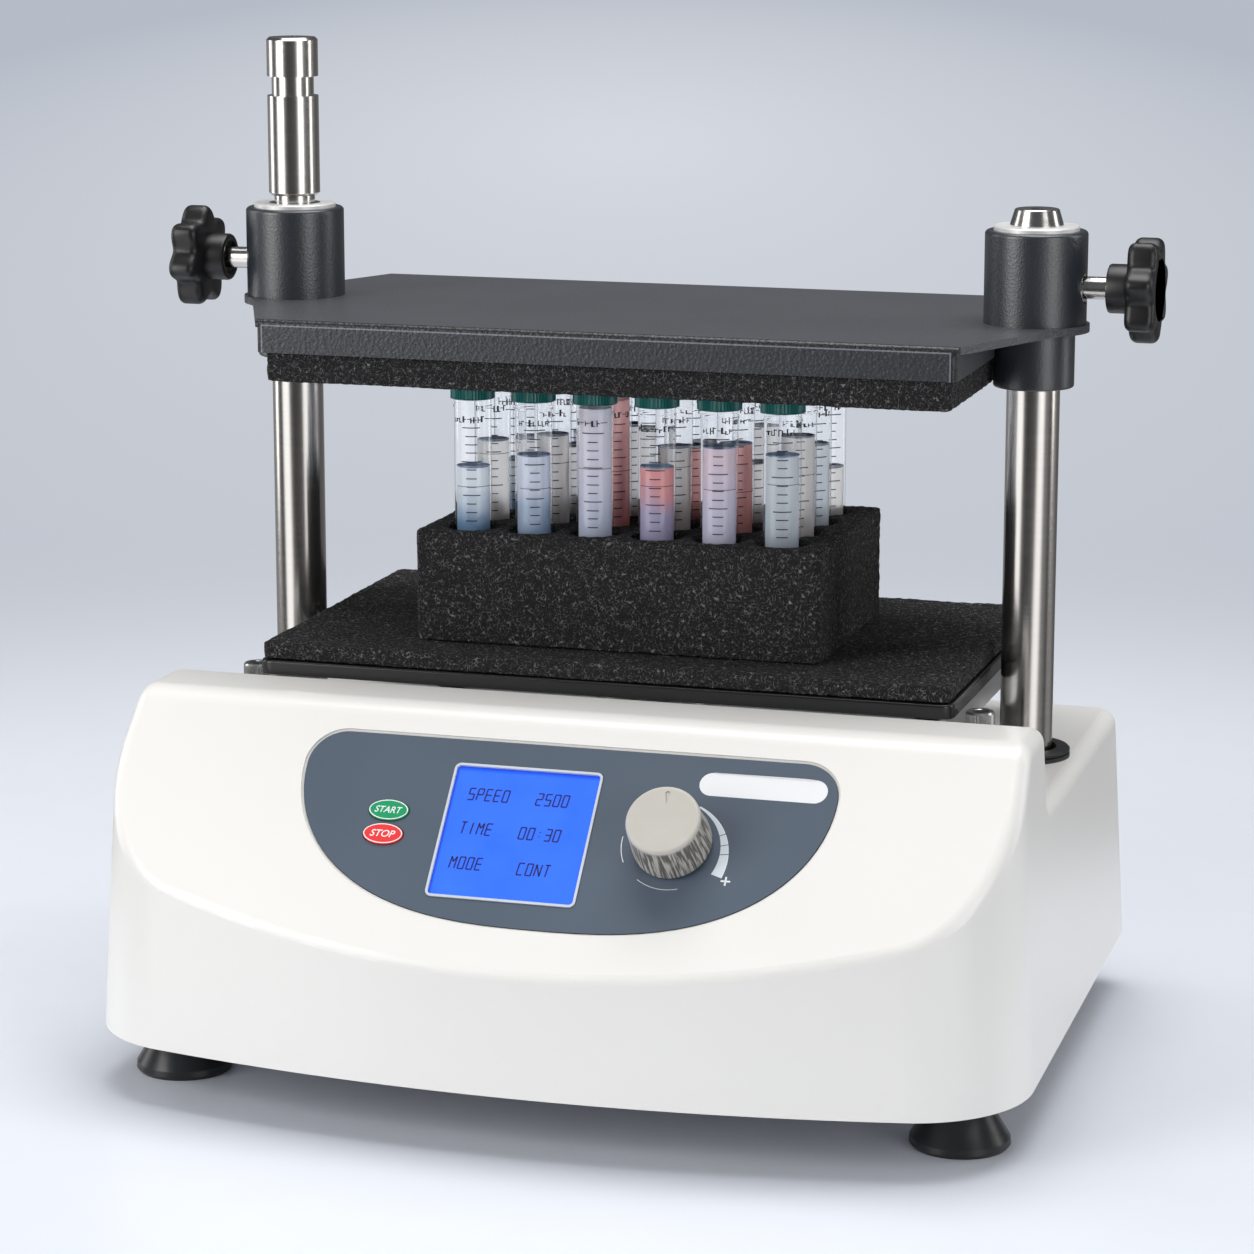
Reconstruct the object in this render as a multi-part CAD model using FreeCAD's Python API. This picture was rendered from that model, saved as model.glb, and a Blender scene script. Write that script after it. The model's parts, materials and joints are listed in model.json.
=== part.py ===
import FreeCAD, Part
import math
import os

V = FreeCAD.Vector

# Base housing, the moulded shell that stands on four suction feet
base_depth = 333.0
base_beside_post = 35.0
base_narrowing = 5.0
base_bottom_z = 27.0
front_bow_radius = 800.0
front_corner_radius = 55.0
rear_corner_radius = 12.0
wall_draft = 0.05
shell_wall = 3.5
deck_z = 138.0
deck_wall = 3.5
ridge_z = 174.5
ridge_back_from_front = 127.5
ridge_back_lean = 2.0
edge_radius = 7.0
ridge_foot_radius = 4.0
ridge_bend_radius = 16.0

# Sloping console face: its slope, and the height at a given distance from the front
face_slope = 1.1
face_mark_from_front = 41.0
face_mark_z = 122.5
face_wall = 4.5
face_zero_from_front = 4.0

# Control panel overlay, in face coordinates: across, up the slope, and out of the face
panel_centre_u = 6.0
panel_half_width = 120.5
panel_low_s = 20.2
panel_top_s = 109.5
panel_corner = 17.0
panel_fullness = 2.7
panel_thick = 1.6
panel_pocket = 2.0
panel_rim = 1.0
panel_gap = 0.3

# Display window
lcd_centre_u = -12.0
lcd_centre_s = 64.8
lcd_width = 67.8
lcd_height = 65.4
lcd_frame = 1.2
lcd_corner = 3.0
lcd_recess = 0.6
lcd_depth = 6.0
lcd_gap = 0.1

# Start and stop keys
key_u = -71.0
start_s = 71.6
stop_s = 59.9
key_width = 18.4
key_height = 10.2
key_rise = 0.9
key_travel = 0.6
key_gap = 0.3
key_cap_depth = 3.0
key_stem_radius = 2.0
key_flange = 1.0

# Speed knob and its encoder
knob_u = 58.8
knob_s = 66.3
knob_base_radius = 17.4
knob_top_radius = 16.1
knob_height = 20.5
knob_float = 1.2
knob_skirt = 3.0
knob_rim_radius = 1.4
pointer_depth = 0.5
pointer_radius = 1.1
pointer_from_rim = 3.6
pointer_length = 4.6
encoder_shaft_radius = 3.0
encoder_bush_radius = 4.5
running_gap = 0.05

# Control board behind the face
board_depth = 16.0
board_thick = 1.6
board_half_u = 86.0
board_low_s = 30.0
board_high_s = 96.0

# Floor pan, feet and their studs
pan_lift = 2.0
pan_thick = 2.0
pan_gap = 1.0
foot_radius = 22.0
foot_neck_radius = 11.3
foot_x = 180.0
foot_rear_x = 163.0
foot_front_from_front = 75.0
foot_from_rear = 36.0
foot_stud_radius = 3.0
pan_screw_radius = 1.5
pan_boss_radius = 5.0
pan_boss_height = 16.0
pan_screw_from_front = 118.0
pan_screw_from_rear = 62.0

# Drive: the motor turns an eccentric pin that carries the platform round a small circle
orbit = 1.8
motor_radius = 38.0
motor_length = 54.0
motor_plate_z = 90.0
motor_plate_thick = 4.0
motor_plate_side = 112.0
pillar_reach = 46.0
pillar_radius = 6.0
shaft_radius = 6.0
pin_radius = 7.5
hub_disc_radius = 18.0
hub_disc_z = 98.0
hub_disc_thick = 8.0
weight_radius = 44.0
bearing_z = 109.0
bearing_width = 11.0
bearing_outer_radius = 17.5
bearing_housing_radius = 28.0
bearing_housing_shoulder = 40.0
bearing_flange_radius = 45.0
bearing_flange_thick = 6.0
deck_opening_gap = 4.0

# Yoke under the deck that carries both posts
yoke_z = 112.0
yoke_thick = 10.0
yoke_half_width = 20.0
post_bolt_radius = 5.0

# Platform: carrier, tray and foam mat
post_from_front = 221.0
carrier_top_z = 177.0
carrier_in_tray = 0.5
carrier_half_y = 88.0
carrier_sheet = 3.0
carrier_flange_z = 160.0
tray_half_x = 162.0
tray_half_y = 93.0
tray_top_z = 180.0
tray_sheet = 3.0
tray_lip_z = 173.6
tray_corner = 6.0
mat_setback = 1.2
mat_thick = 8.3
mat_corner = 3.0

# Rubber isolators between deck and platform
front_isolator_from_tray = 8.5
front_isolator_back = 73.0
rear_isolator_x = 120.0
rear_isolator_back = 60.0
isolator_radius = 10.0
isolator_cap = 1.5
ear_half_width = 13.0
ear_past_isolator = 10.5
ear_sheet = 3.0
spacer_thick = 3.0
socket_head_radius = 6.5
socket_head_height = 8.0
socket_key_radius = 3.4

# Posts
post_from_tray = 15.0
post_radius = 12.0
bush_top_z = 380.0
right_post_top_z = 387.5
right_post_tip_radius = 10.0
extension_top_z = 457.0
extension_neck_radius = 9.5
extension_neck_height = 3.6
extension_groove_radius = 9.85
extension_groove_low_z = 430.0
extension_groove_high_z = 439.0
centre_hole_radius = 2.6
post_chamfer = 1.2

# Rubber collars in the deck round the posts
collar_radius = 20.5
collar_height = 4.4
collar_neck_radius = 16.6
collar_bore_radius = 14.4

# Foam rack with sample tubes
rack_centre_x = 0.8
rack_centre_back = -7.35
rack_half_x = 95.3
rack_half_y = 60.1
rack_height = 51.6
hole_radius = 11.0
tube_columns = 6
tube_rows = 4
column_pitch = 29.2
row_pitch = 28.0
tube_radius = 8.5
tube_tip_radius = 2.2
tube_cone = 22.0
cap_radius = 10.2
cap_height = 8.5
cap_skirt = 3.0
tube_length = 119.0
foam_relief = 0.2

# Clamp plate above the tubes
plate_thick = 3.5
plate_top_z = 336.5
plate_in_tray_x = 1.0
plate_in_tray_y = 2.0
plate_lip = 11.5
plate_sheet = 2.5
plate_corner = 3.0
plate_edge_radius = 2.4
ear_radius = 24.5
ear_join_angle = 55.0
ear_join_radius = 14.0
foam_inset = 0.3

# Hubs that slide on the posts
hub_radius = 23.0
hub_top_z = 378.0
hub_edge_radius = 1.8
sleeve_radius = 18.15
sleeve_bottom_z = 307.8
sleeve_relief = 0.3
bush_flange_radius = 19.2
bush_neck_radius = 15.0
bush_neck_length = 16.0

# Clamp screws with star knobs
clamp_axis_z = 353.0
insert_radius = 7.5
insert_length = 8.0
insert_setback = 1.2
stud_radius = 5.0
pad_length = 3.0
pad_gap = 0.1
boss_from_hub = 7.5
boss_length = 10.5
boss_sink_radius = 8.0
boss_sink_depth = 2.0
boss_radius = 11.0
disc_thick = 19.5
stud_in_disc = 8.0
disc_mean_radius = 21.4
disc_lobe = 2.6
disc_lobes = 7
disc_edge_radius = 2.5
disc_cap_radius = 13.5
disc_cap_depth = 0.8

# Rear mains inlet and switch
mains_z = 62.0
mains_recess = 3.5
mains_pad_depth = 4.0
inlet_x = -120.0
inlet_half_x = 14.0
inlet_half_z = 10.0
inlet_flange_x = 25.0
inlet_flange_z = 14.0
inlet_depth = 24.0
switch_x = -72.0
switch_half_x = 9.5
switch_half_z = 12.5
switch_depth = 14.0
switch_flange = 1.5
rocker_half_x = 6.5
rocker_reach = 8.9
rocker_gap = 0.3
rocker_tilt = 8.0
rocker_pin_radius = 1.5
rocker_pin_length = 1.4

# Power supply board on the floor pan
supply_x = -138.0
supply_half_x = 40.0
supply_half_y = 52.0
supply_lift = 8.0

carrier_half_x = tray_half_x - tray_sheet - carrier_in_tray
mat_half_x = tray_half_x - mat_setback
mat_half_y = tray_half_y - mat_setback
plate_half_x = tray_half_x - plate_in_tray_x
plate_half_y = tray_half_y - plate_in_tray_y
front_isolator_x = tray_half_x + front_isolator_from_tray
ear_outer_x = front_isolator_x + ear_past_isolator
post_x = tray_half_x + post_from_tray
boss_start_x = post_x + hub_radius + boss_from_hub
disc_start_x = boss_start_x + boss_length
disc_end_x = disc_start_x + disc_thick
base_half_front = post_x + base_beside_post
base_half_rear = base_half_front - base_narrowing
front_y = -base_depth / 2
rear_y = base_depth / 2
post_y = front_y + post_from_front
motor_y = post_y - orbit
pan_z = base_bottom_z + pan_lift
pan_top_z = pan_z + pan_thick
mat_top_z = tray_top_z + mat_thick
tube_top_z = mat_top_z + tube_length
foam_bottom_z = tube_top_z + foam_relief
plate_low_z = plate_top_z - plate_thick
face_angle = math.atan(face_slope)
corner_centre_y = front_y + front_bow_radius - math.sqrt((front_bow_radius - front_corner_radius) ** 2
                                                        - (base_half_front - front_corner_radius) ** 2)
side_taper = (base_half_front - base_half_rear) / (rear_y - corner_centre_y)


def box(x0, x1, y0, y1, z0, z1):
    return Part.makeBox(x1 - x0, y1 - y0, z1 - z0, V(x0, y0, z0))


def disc(x, y, z0, z1, radius):
    return Part.makeCylinder(radius, z1 - z0, V(x, y, z0))


def ring(x, y, z0, z1, outer, inner):
    return disc(x, y, z0, z1, outer).cut(disc(x, y, z0, z1, inner))


def lathe(x, y, profile):
    points = [V(x + r, y, z) for r, z in profile]
    wire = Part.makePolygon(points + [points[0]])
    return Part.Face(wire).revolve(V(x, y, 0), V(0, 0, 1), 360)


def fuse(shapes):
    return shapes[0].multiFuse(shapes[1:]).removeSplitter()


def single(shape):
    return shape.Solids[0] if len(shape.Solids) == 1 else shape


def group(shapes):
    return Part.makeCompound([solid for shape in shapes for solid in shape.Solids])


def mirrored(shape):
    return shape.mirror(V(0, 0, 0), V(1, 0, 0))


def round_edges(shape, radius, test):
    return shape.makeFillet(radius, [edge for edge in shape.Edges if test(edge.CenterOfMass, edge)])


def upright(centre, edge):
    return edge.Vertexes[0].Point.sub(edge.Vertexes[-1].Point).cross(V(0, 0, 1)).Length < 0.01


def rounded_block(x0, x1, y0, y1, z0, z1, radius):
    return round_edges(box(x0, x1, y0, y1, z0, z1), radius, upright)


def oval(centre_u, centre_s, width, height, low, high):
    ellipse = Part.Ellipse(V(centre_u, centre_s, low), width / 2, height / 2).toShape()
    return Part.Face(Part.Wire(ellipse)).extrude(V(0, 0, high - low))


def on_face(shape):
    """Carries a piece from face coordinates to its place on the sloping console."""
    placed = shape.copy()
    placed.rotate(V(0, 0, 0), V(1, 0, 0), math.degrees(face_angle))
    origin_y = front_y + face_zero_from_front
    origin_z = face_mark_z + face_slope * (origin_y - front_y - face_mark_from_front)
    placed.translate(V(0, origin_y, origin_z))
    return placed


def along_x(x, y, z, length, radius):
    return Part.makeCylinder(radius, length, V(x, y, z), V(1, 0, 0))


# Housing form

def footprint(inset, z):
    offset = inset + wall_draft * (z - base_bottom_z)
    radius = front_bow_radius - offset
    centre_y = front_y + front_bow_radius
    half = base_half_front - offset + side_taper * corner_centre_y
    lean = half * side_taper + centre_y
    square = 1 + side_taper ** 2
    y = (lean - math.sqrt(lean ** 2 - square * (half ** 2 + centre_y ** 2 - radius ** 2))) / square
    rear = rear_y - offset
    right = V(half - side_taper * y, y, z)
    left = V(-right.x, y, z)
    right_rear = V(half - side_taper * rear, rear, z)
    left_rear = V(-right_rear.x, rear, z)
    bow = Part.Arc(left, V(0, centre_y - radius, z), right).toShape()
    sides = [Part.makeLine(right, right_rear), Part.makeLine(right_rear, left_rear),
             Part.makeLine(left_rear, left)]
    return Part.Wire([bow] + sides)


def drafted_block(inset, low, high):
    block = Part.makeLoft([footprint(inset, low), footprint(inset, high)], True, True)
    tall = high - low - 1

    def corner(rear):
        return lambda c, e: abs(e.Vertexes[0].Z - e.Vertexes[-1].Z) > tall and (c.y > 0) == rear

    block = round_edges(block, front_corner_radius - inset, corner(False))
    rear_limit = rear_y - 20
    return round_edges(block, rear_corner_radius - inset,
                       lambda c, e: corner(True)(c, e) and c.y > rear_limit)


def face_height(y, depth):
    return face_mark_z + face_slope * (y - front_y - face_mark_from_front) - depth * math.hypot(1, face_slope)


def side_profile(face_inset, top_inset, deck_inset, back_inset, bend_radius, foot_radius):
    """Outline of the housing seen from the side, as a prism wider than the housing."""
    ridge_top = ridge_z - top_inset
    deck_top = deck_z - deck_inset
    bend_y = front_y + face_mark_from_front
    bend_y += (ridge_top - face_height(bend_y, face_inset)) / face_slope
    back_y = front_y + ridge_back_from_front - back_inset
    foot_y = back_y + ridge_back_lean
    far_y = base_depth
    x = -base_half_front - 50
    points = [V(x, -far_y, face_height(-far_y, face_inset)), V(x, bend_y, ridge_top), V(x, back_y, ridge_top),
              V(x, foot_y, deck_top), V(x, far_y, deck_top), V(x, far_y, -2 * far_y), V(x, -far_y, -2 * far_y)]
    prism = Part.Face(Part.makePolygon(points + [points[0]])).extrude(V(-2 * x, 0, 0))
    for radius, y, z in ((bend_radius, bend_y, ridge_top), (foot_radius, foot_y, deck_top)):
        if radius:
            prism = round_edges(prism, radius, lambda c, e: abs(c.y - y) < 0.1 and abs(c.z - z) < 0.1)
    return prism


def housing_outside():
    block = drafted_block(0, base_bottom_z, ridge_z + 16)
    form = single(block.common(side_profile(0, 0, 0, 0, ridge_bend_radius, ridge_foot_radius)))
    front_limit = face_height(front_y + 22, 0)
    back_y = front_y + ridge_back_from_front

    def outline_edge(c, e):
        if min(vertex.Z for vertex in e.Vertexes) < base_bottom_z + 0.1:
            return False
        across = abs(c.x) < 1
        return not across or c.z < front_limit or abs(c.y - back_y) < 0.3 or c.y > rear_y - 20

    return round_edges(form, edge_radius, outline_edge)


def housing_inside():
    block = drafted_block(shell_wall, base_bottom_z - 5, ridge_z + 16)
    profile = side_profile(face_wall, shell_wall + 1, deck_wall, shell_wall, 0, 0)
    return single(block.common(profile))


def panel_outline(grow, low, high):
    """Outline of the control panel, full at the bottom corners, as a block in face coordinates."""
    half = panel_half_width + grow
    top = panel_top_s + grow
    corner = panel_corner + grow
    shoulder = top - corner
    rise = shoulder - panel_low_s + grow
    steps = 9
    points = []
    for i in range(-steps, steps + 1):
        angle = i * math.pi / 2 / steps
        across = math.copysign(abs(math.sin(angle)) ** (2 / panel_fullness), angle)
        points.append(V(panel_centre_u + half * across, shoulder - rise * math.cos(angle), low))
    curve = Part.BSplineCurve()
    curve.interpolate(Points=points)
    diagonal = corner * (1 - math.sqrt(0.5))
    left = panel_centre_u - half
    right = panel_centre_u + half
    top_right = V(right - corner, top, low)
    top_left = V(left + corner, top, low)
    right_arc = Part.Arc(points[-1], V(right - diagonal, top - diagonal, low), top_right)
    left_arc = Part.Arc(top_left, V(left + diagonal, top - diagonal, low), points[0])
    edges = [curve.toShape(), right_arc.toShape(), Part.makeLine(top_right, top_left), left_arc.toShape()]
    return Part.Face(Part.Wire(edges)).extrude(V(0, 0, high - low))


def lcd_block(grow, low, high):
    half_u = lcd_width / 2 + grow
    half_s = lcd_height / 2 + grow
    return rounded_block(lcd_centre_u - half_u, lcd_centre_u + half_u, lcd_centre_s - half_s,
                         lcd_centre_s + half_s, low, high, max(lcd_corner + grow, 0.5))


def key_ovals(grow, low, high):
    return [oval(key_u, s, key_width + 2 * grow, key_height + 2 * grow, low, high) for s in (start_s, stop_s)]


def pan_boss_places():
    """Screw places round the rim of the floor pan, each a little inside the wall."""
    inside = shell_wall + pan_boss_radius - 1
    places = []
    for y in (front_y + pan_screw_from_front, rear_y - pan_screw_from_rear):
        x = base_half_front - side_taper * (y - corner_centre_y) - inside
        places += [(x, y), (-x, y)]
    x = base_half_front * 0.42
    y = front_y + front_bow_radius - math.sqrt(front_bow_radius ** 2 - x ** 2) + inside
    places += [(x, y), (-x, y)]
    places += [(base_half_rear * 0.55, rear_y - inside), (-base_half_rear * 0.55, rear_y - inside)]
    return places


def housing_shell():
    outside = housing_outside()
    shell = outside.cut(housing_inside())
    bosses = [disc(x, y, pan_top_z, pan_top_z + pan_boss_height, pan_boss_radius) for x, y in pan_boss_places()]
    pad = box(inlet_x - inlet_flange_x - 4, switch_x + switch_half_x + 8,
              rear_y - mains_recess - mains_pad_depth, rear_y - 1, mains_z - 20, mains_z + 20)
    shell = shell.multiFuse([boss.common(outside) for boss in bosses] + [pad.common(outside)])
    cuts = [disc(x, y, pan_z, pan_top_z + pan_boss_height - 2, pan_screw_radius) for x, y in pan_boss_places()]
    cuts.append(disc(0, motor_y, deck_z - deck_wall - 5, deck_z + 5,
                     bearing_housing_radius + orbit + deck_opening_gap))
    cuts += [disc(side * post_x, motor_y, deck_z - deck_wall - 5, deck_z + 5, collar_neck_radius)
             for side in (-1, 1)]
    cuts.append(on_face(panel_outline(0, -panel_pocket, 5)))
    cuts.append(on_face(lcd_block(-lcd_frame + lcd_gap, -12, 5)))
    cuts += [on_face(key) for key in key_ovals(key_gap, -12, 5)]
    cuts.append(on_face(disc(knob_u, knob_s, -12, 5, encoder_bush_radius)))
    cuts.append(box(inlet_x - inlet_flange_x - 1, switch_x + switch_half_x + 4,
                    rear_y - mains_recess, rear_y + 5, mains_z - 16, mains_z + 16))
    cuts.append(box(inlet_x - inlet_half_x, inlet_x + inlet_half_x, rear_y - 20, rear_y,
                    mains_z - inlet_half_z, mains_z + inlet_half_z))
    cuts.append(box(switch_x - switch_half_x, switch_x + switch_half_x, rear_y - 20, rear_y,
                    mains_z - switch_half_z, mains_z + switch_half_z))
    cuts.append(on_face(panel_outline(panel_rim, -panel_rim, 5)))
    for cut in cuts:
        shell = shell.cut(cut)
    return single(shell)


# Console pieces

def control_panel():
    panel = panel_outline(-panel_gap, -panel_pocket, panel_thick - panel_pocket)
    cuts = [lcd_block(0, -5, 5), disc(knob_u, knob_s, -5, 5, encoder_bush_radius)] + key_ovals(key_gap, -5, 5)
    return on_face(panel.cut(Part.makeCompound(cuts)))


def lcd_bezel():
    top = panel_thick - panel_pocket + 0.5
    frame = lcd_block(-lcd_gap, -panel_pocket, top)
    return on_face(frame.cut(lcd_block(-lcd_frame, -panel_pocket - 1, top + 1)))


def lcd_screen():
    return on_face(lcd_block(-lcd_frame, -lcd_depth - face_wall, panel_thick - panel_pocket - lcd_recess))


def board_top():
    return -board_depth + board_thick


def control_board():
    board = box(-board_half_u, board_half_u, board_low_s, board_high_s, -board_depth, board_top())
    posts = [disc(u, s, board_top(), -face_wall, 3.0) for u in (-board_half_u + 6, board_half_u - 6)
             for s in (board_low_s + 6, board_high_s - 6)]
    lcd_carrier = lcd_block(-lcd_frame - 4, board_top(), -lcd_depth - face_wall)
    chips = [box(20, 34, 34, 44, -board_depth - 2, -board_depth), box(-52, -30, 84, 92, board_top(), board_top() + 3)]
    return on_face(fuse([board, lcd_carrier] + posts + chips))


def key_switches():
    low = board_top()
    high = -face_wall - key_flange - key_cap_depth
    return group([on_face(rounded_block(key_u - 3, key_u + 3, s - 3, s + 3, low, high, 0.6))
                  for s in (start_s, stop_s)])


def push_key(s):
    cap_low = panel_thick - panel_pocket + key_rise - key_cap_depth
    cap = oval(key_u, s, key_width, key_height, cap_low, cap_low + key_cap_depth)
    cap = round_edges(cap, 0.5, lambda c, e: abs(c.z - cap_low - key_cap_depth) < 0.1)
    stem_low = -face_wall - key_flange - key_cap_depth + key_travel + 0.1
    stem = disc(key_u, s, stem_low, cap_low, key_stem_radius)
    flange = oval(key_u, s, key_width - 4, key_height - 2, cap_low - 1.0, cap_low)
    return on_face(fuse([cap, flange, stem]))


def speed_encoder():
    body = rounded_block(knob_u - 7, knob_u + 7, knob_s - 6.5, knob_s + 6.5, board_top(), -face_wall, 1.0)
    bush = disc(knob_u, knob_s, -face_wall, knob_float - 0.2, encoder_bush_radius)
    bore = disc(knob_u, knob_s, -face_wall - 6, knob_float, encoder_shaft_radius + running_gap)
    return on_face(fuse([body, bush]).cut(bore))


def encoder_shaft():
    return on_face(disc(knob_u, knob_s, -face_wall - 5.8, knob_float + knob_height - 6, encoder_shaft_radius))


def speed_knob():
    low = knob_float
    high = knob_float + knob_height
    skirt = low + knob_skirt
    body = lathe(knob_u, knob_s, [(0, low), (knob_base_radius, low), (knob_base_radius, skirt),
                                  (knob_top_radius, high), (0, high)])
    body = round_edges(body, knob_rim_radius, lambda c, e: abs(c.z - high) < 0.1)
    drop_s = knob_s + knob_top_radius - pointer_from_rim
    drop = disc(knob_u, drop_s, high - pointer_depth, high + 1, pointer_radius)
    tail = Part.makePolygon([V(knob_u - pointer_radius, drop_s, high - pointer_depth),
                             V(knob_u, drop_s - pointer_length, high - pointer_depth),
                             V(knob_u + pointer_radius, drop_s, high - pointer_depth),
                             V(knob_u - pointer_radius, drop_s, high - pointer_depth)])
    pointer = fuse([drop, Part.Face(tail).extrude(V(0, 0, pointer_depth + 1))])
    bore = disc(knob_u, knob_s, low, high - 6, encoder_shaft_radius)
    return on_face(body.cut(Part.makeCompound([pointer, bore])))


# Floor pan and feet

def foot_places():
    ys = (front_y + foot_front_from_front, rear_y - foot_from_rear)
    return {"front_left_foot": (-foot_x, ys[0]), "front_right_foot": (foot_x, ys[0]),
            "rear_left_foot": (-foot_rear_x, ys[1]), "rear_right_foot": (foot_rear_x, ys[1])}


def chassis_plate():
    block = drafted_block(shell_wall + pan_gap, pan_z, pan_top_z + 40)
    plate = block.common(box(-base_half_front, base_half_front, front_y, rear_y, pan_z, pan_top_z))
    holes = [disc(x, y, pan_z - 1, pan_top_z + 1, pan_screw_radius + 0.4) for x, y in pan_boss_places()]
    holes += [disc(x, y, pan_z - 1, pan_top_z + 1, foot_stud_radius + 0.3) for x, y in foot_places().values()]
    return single(plate.cut(Part.makeCompound(holes)))


def chassis_screws():
    screws = []
    for x, y in pan_boss_places():
        head = disc(x, y, base_bottom_z, pan_z, 3.4)
        shank = disc(x, y, pan_z, pan_top_z + pan_boss_height - 3, pan_screw_radius)
        screws.append(head.fuse(shank))
    return group(screws)


def suction_foot(x, y):
    rim = foot_radius
    neck = foot_neck_radius
    profile = [(0, 4.5), (10, 3.6), (rim - 4.5, 0.6), (rim - 3.5, 0), (rim - 1.2, 0), (rim, 1.6),
               (rim - 0.3, 4.2), (rim - 2.6, 8.0), (rim - 7.8, 17.0), (neck + 2.0, 18.4), (neck, 18.4),
               (neck, pan_z), (0, pan_z)]
    cup = lathe(x, y, profile)
    return cup.cut(disc(x, y, 12, pan_z, foot_stud_radius))


def foot_studs():
    studs = []
    for x, y in foot_places().values():
        stud = disc(x, y, 12, pan_top_z + 7, foot_stud_radius)
        nut = Part.Face(Part.makePolygon([V(x + 5.8 * math.cos(a), y + 5.8 * math.sin(a), pan_top_z)
                                          for a in [math.pi * k / 3 for k in range(7)]]))
        studs.append(stud.fuse(nut.extrude(V(0, 0, 5))))
    return group(studs)


# Drive

def motor_corners():
    return [(sx * pillar_reach, motor_y + sy * pillar_reach) for sx in (-1, 1) for sy in (-1, 1)]


def motor_body():
    low = motor_plate_z - motor_length
    body = lathe(0, motor_y, [(0, low), (motor_radius - 4, low), (motor_radius - 4, low + 4),
                              (motor_radius, low + 4), (motor_radius, motor_plate_z - 12),
                              (motor_radius - 2, motor_plate_z - 12), (motor_radius - 2, motor_plate_z - 6),
                              (motor_radius + 2, motor_plate_z - 6), (motor_radius + 2, motor_plate_z),
                              (12, motor_plate_z), (12, motor_plate_z + 3), (0, motor_plate_z + 3)])
    return body.cut(disc(0, motor_y, motor_plate_z - 22, motor_plate_z + 5, shaft_radius + running_gap))


def motor_plate():
    half = motor_plate_side / 2
    top = motor_plate_z + motor_plate_thick
    plate = rounded_block(-half, half, motor_y - half, motor_y + half, motor_plate_z, top, 9)
    holes = [disc(0, motor_y, motor_plate_z, top, 12)]
    holes += [disc(x, y, motor_plate_z, top, 2.6) for x, y in motor_corners()]
    return plate.cut(Part.makeCompound(holes))


def motor_pillars():
    return group([disc(x, y, pan_top_z, motor_plate_z, pillar_radius) for x, y in motor_corners()])


def motor_screws():
    top = motor_plate_z + motor_plate_thick
    return group([disc(x, y, top, top + 3, 4.2).fuse(disc(x, y, motor_plate_z, top, 2.5))
                  for x, y in motor_corners()])


def eccentric_shaft():
    shaft = disc(0, motor_y, motor_plate_z - 20, hub_disc_z, shaft_radius)
    hub = disc(0, motor_y, hub_disc_z, hub_disc_z + hub_disc_thick, hub_disc_radius)
    pin = disc(0, post_y, hub_disc_z + hub_disc_thick, bearing_z + bearing_width + 1, pin_radius)
    return fuse([shaft, hub, pin])


def counterweight():
    low = hub_disc_z + 0.5
    high = hub_disc_z + hub_disc_thick - 0.5
    collar = ring(0, motor_y, low, high, hub_disc_radius + 5, hub_disc_radius)
    sector = ring(0, motor_y, low, high, weight_radius, hub_disc_radius)
    sector = sector.common(box(-60, 60, motor_y - 60, motor_y - 6, low, high))
    return fuse([collar, sector])


def drive_bearing():
    return ring(0, post_y, bearing_z, bearing_z + bearing_width, bearing_outer_radius, pin_radius + running_gap)


def bearing_housing():
    flange_top = carrier_top_z - carrier_sheet
    shoulder_z = yoke_z + yoke_thick
    seat_top = bearing_z + bearing_width
    outer = bearing_housing_radius
    return lathe(0, post_y, [(bearing_outer_radius, bearing_z - 1), (outer, bearing_z - 1), (outer, shoulder_z),
                             (bearing_housing_shoulder, shoulder_z), (bearing_housing_shoulder, shoulder_z + 5),
                             (outer, shoulder_z + 5), (outer, flange_top - bearing_flange_thick),
                             (bearing_flange_radius, flange_top - bearing_flange_thick),
                             (bearing_flange_radius, flange_top), (18, flange_top), (18, shoulder_z + 14),
                             (12, shoulder_z + 8), (12, seat_top), (bearing_outer_radius, seat_top)])


def yoke_screw_places():
    return [(34 * math.cos(a), post_y + 34 * math.sin(a)) for a in [math.pi * (k + 0.5) / 2 for k in range(4)]]


def yoke_beam():
    top = yoke_z + yoke_thick
    bar = box(-post_x, post_x, post_y - yoke_half_width, post_y + yoke_half_width, yoke_z, top)
    ends = [disc(side * post_x, post_y, yoke_z, top, yoke_half_width) for side in (-1, 1)]
    middle = disc(0, post_y, yoke_z, top, bearing_housing_shoulder + 3)
    cuts = [disc(0, post_y, yoke_z, top, bearing_housing_radius)]
    cuts += [disc(side * post_x, post_y, yoke_z, top, post_bolt_radius) for side in (-1, 1)]
    cuts += [disc(x, y, yoke_z, top, 2.5) for x, y in yoke_screw_places()]
    for side in (-1, 1):
        cuts.append(rounded_block(side * 105 - 42, side * 105 + 42, post_y - 11, post_y + 11, yoke_z, top, 9))
    return fuse([bar, middle] + ends).cut(Part.makeCompound(cuts))


def yoke_screws():
    return group([disc(x, y, yoke_z - 4, yoke_z, 4.2).fuse(disc(x, y, yoke_z, yoke_z + yoke_thick, 2.5))
                  for x, y in yoke_screw_places()])


def post_bolts():
    bolts = []
    for side in (-1, 1):
        head = disc(side * post_x, post_y, yoke_z - 7, yoke_z, 8.2)
        shank = disc(side * post_x, post_y, yoke_z, yoke_z + yoke_thick + 20, post_bolt_radius)
        bolts.append(head.fuse(shank))
    return group(bolts)


# Platform

def carrier_screw_places():
    places = [(36 * math.cos(a), post_y + 36 * math.sin(a)) for a in [math.pi * (k + 0.5) / 2 for k in range(4)]]
    return places + [(side * rear_isolator_x, post_y + rear_isolator_back) for side in (-1, 1)]


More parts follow.
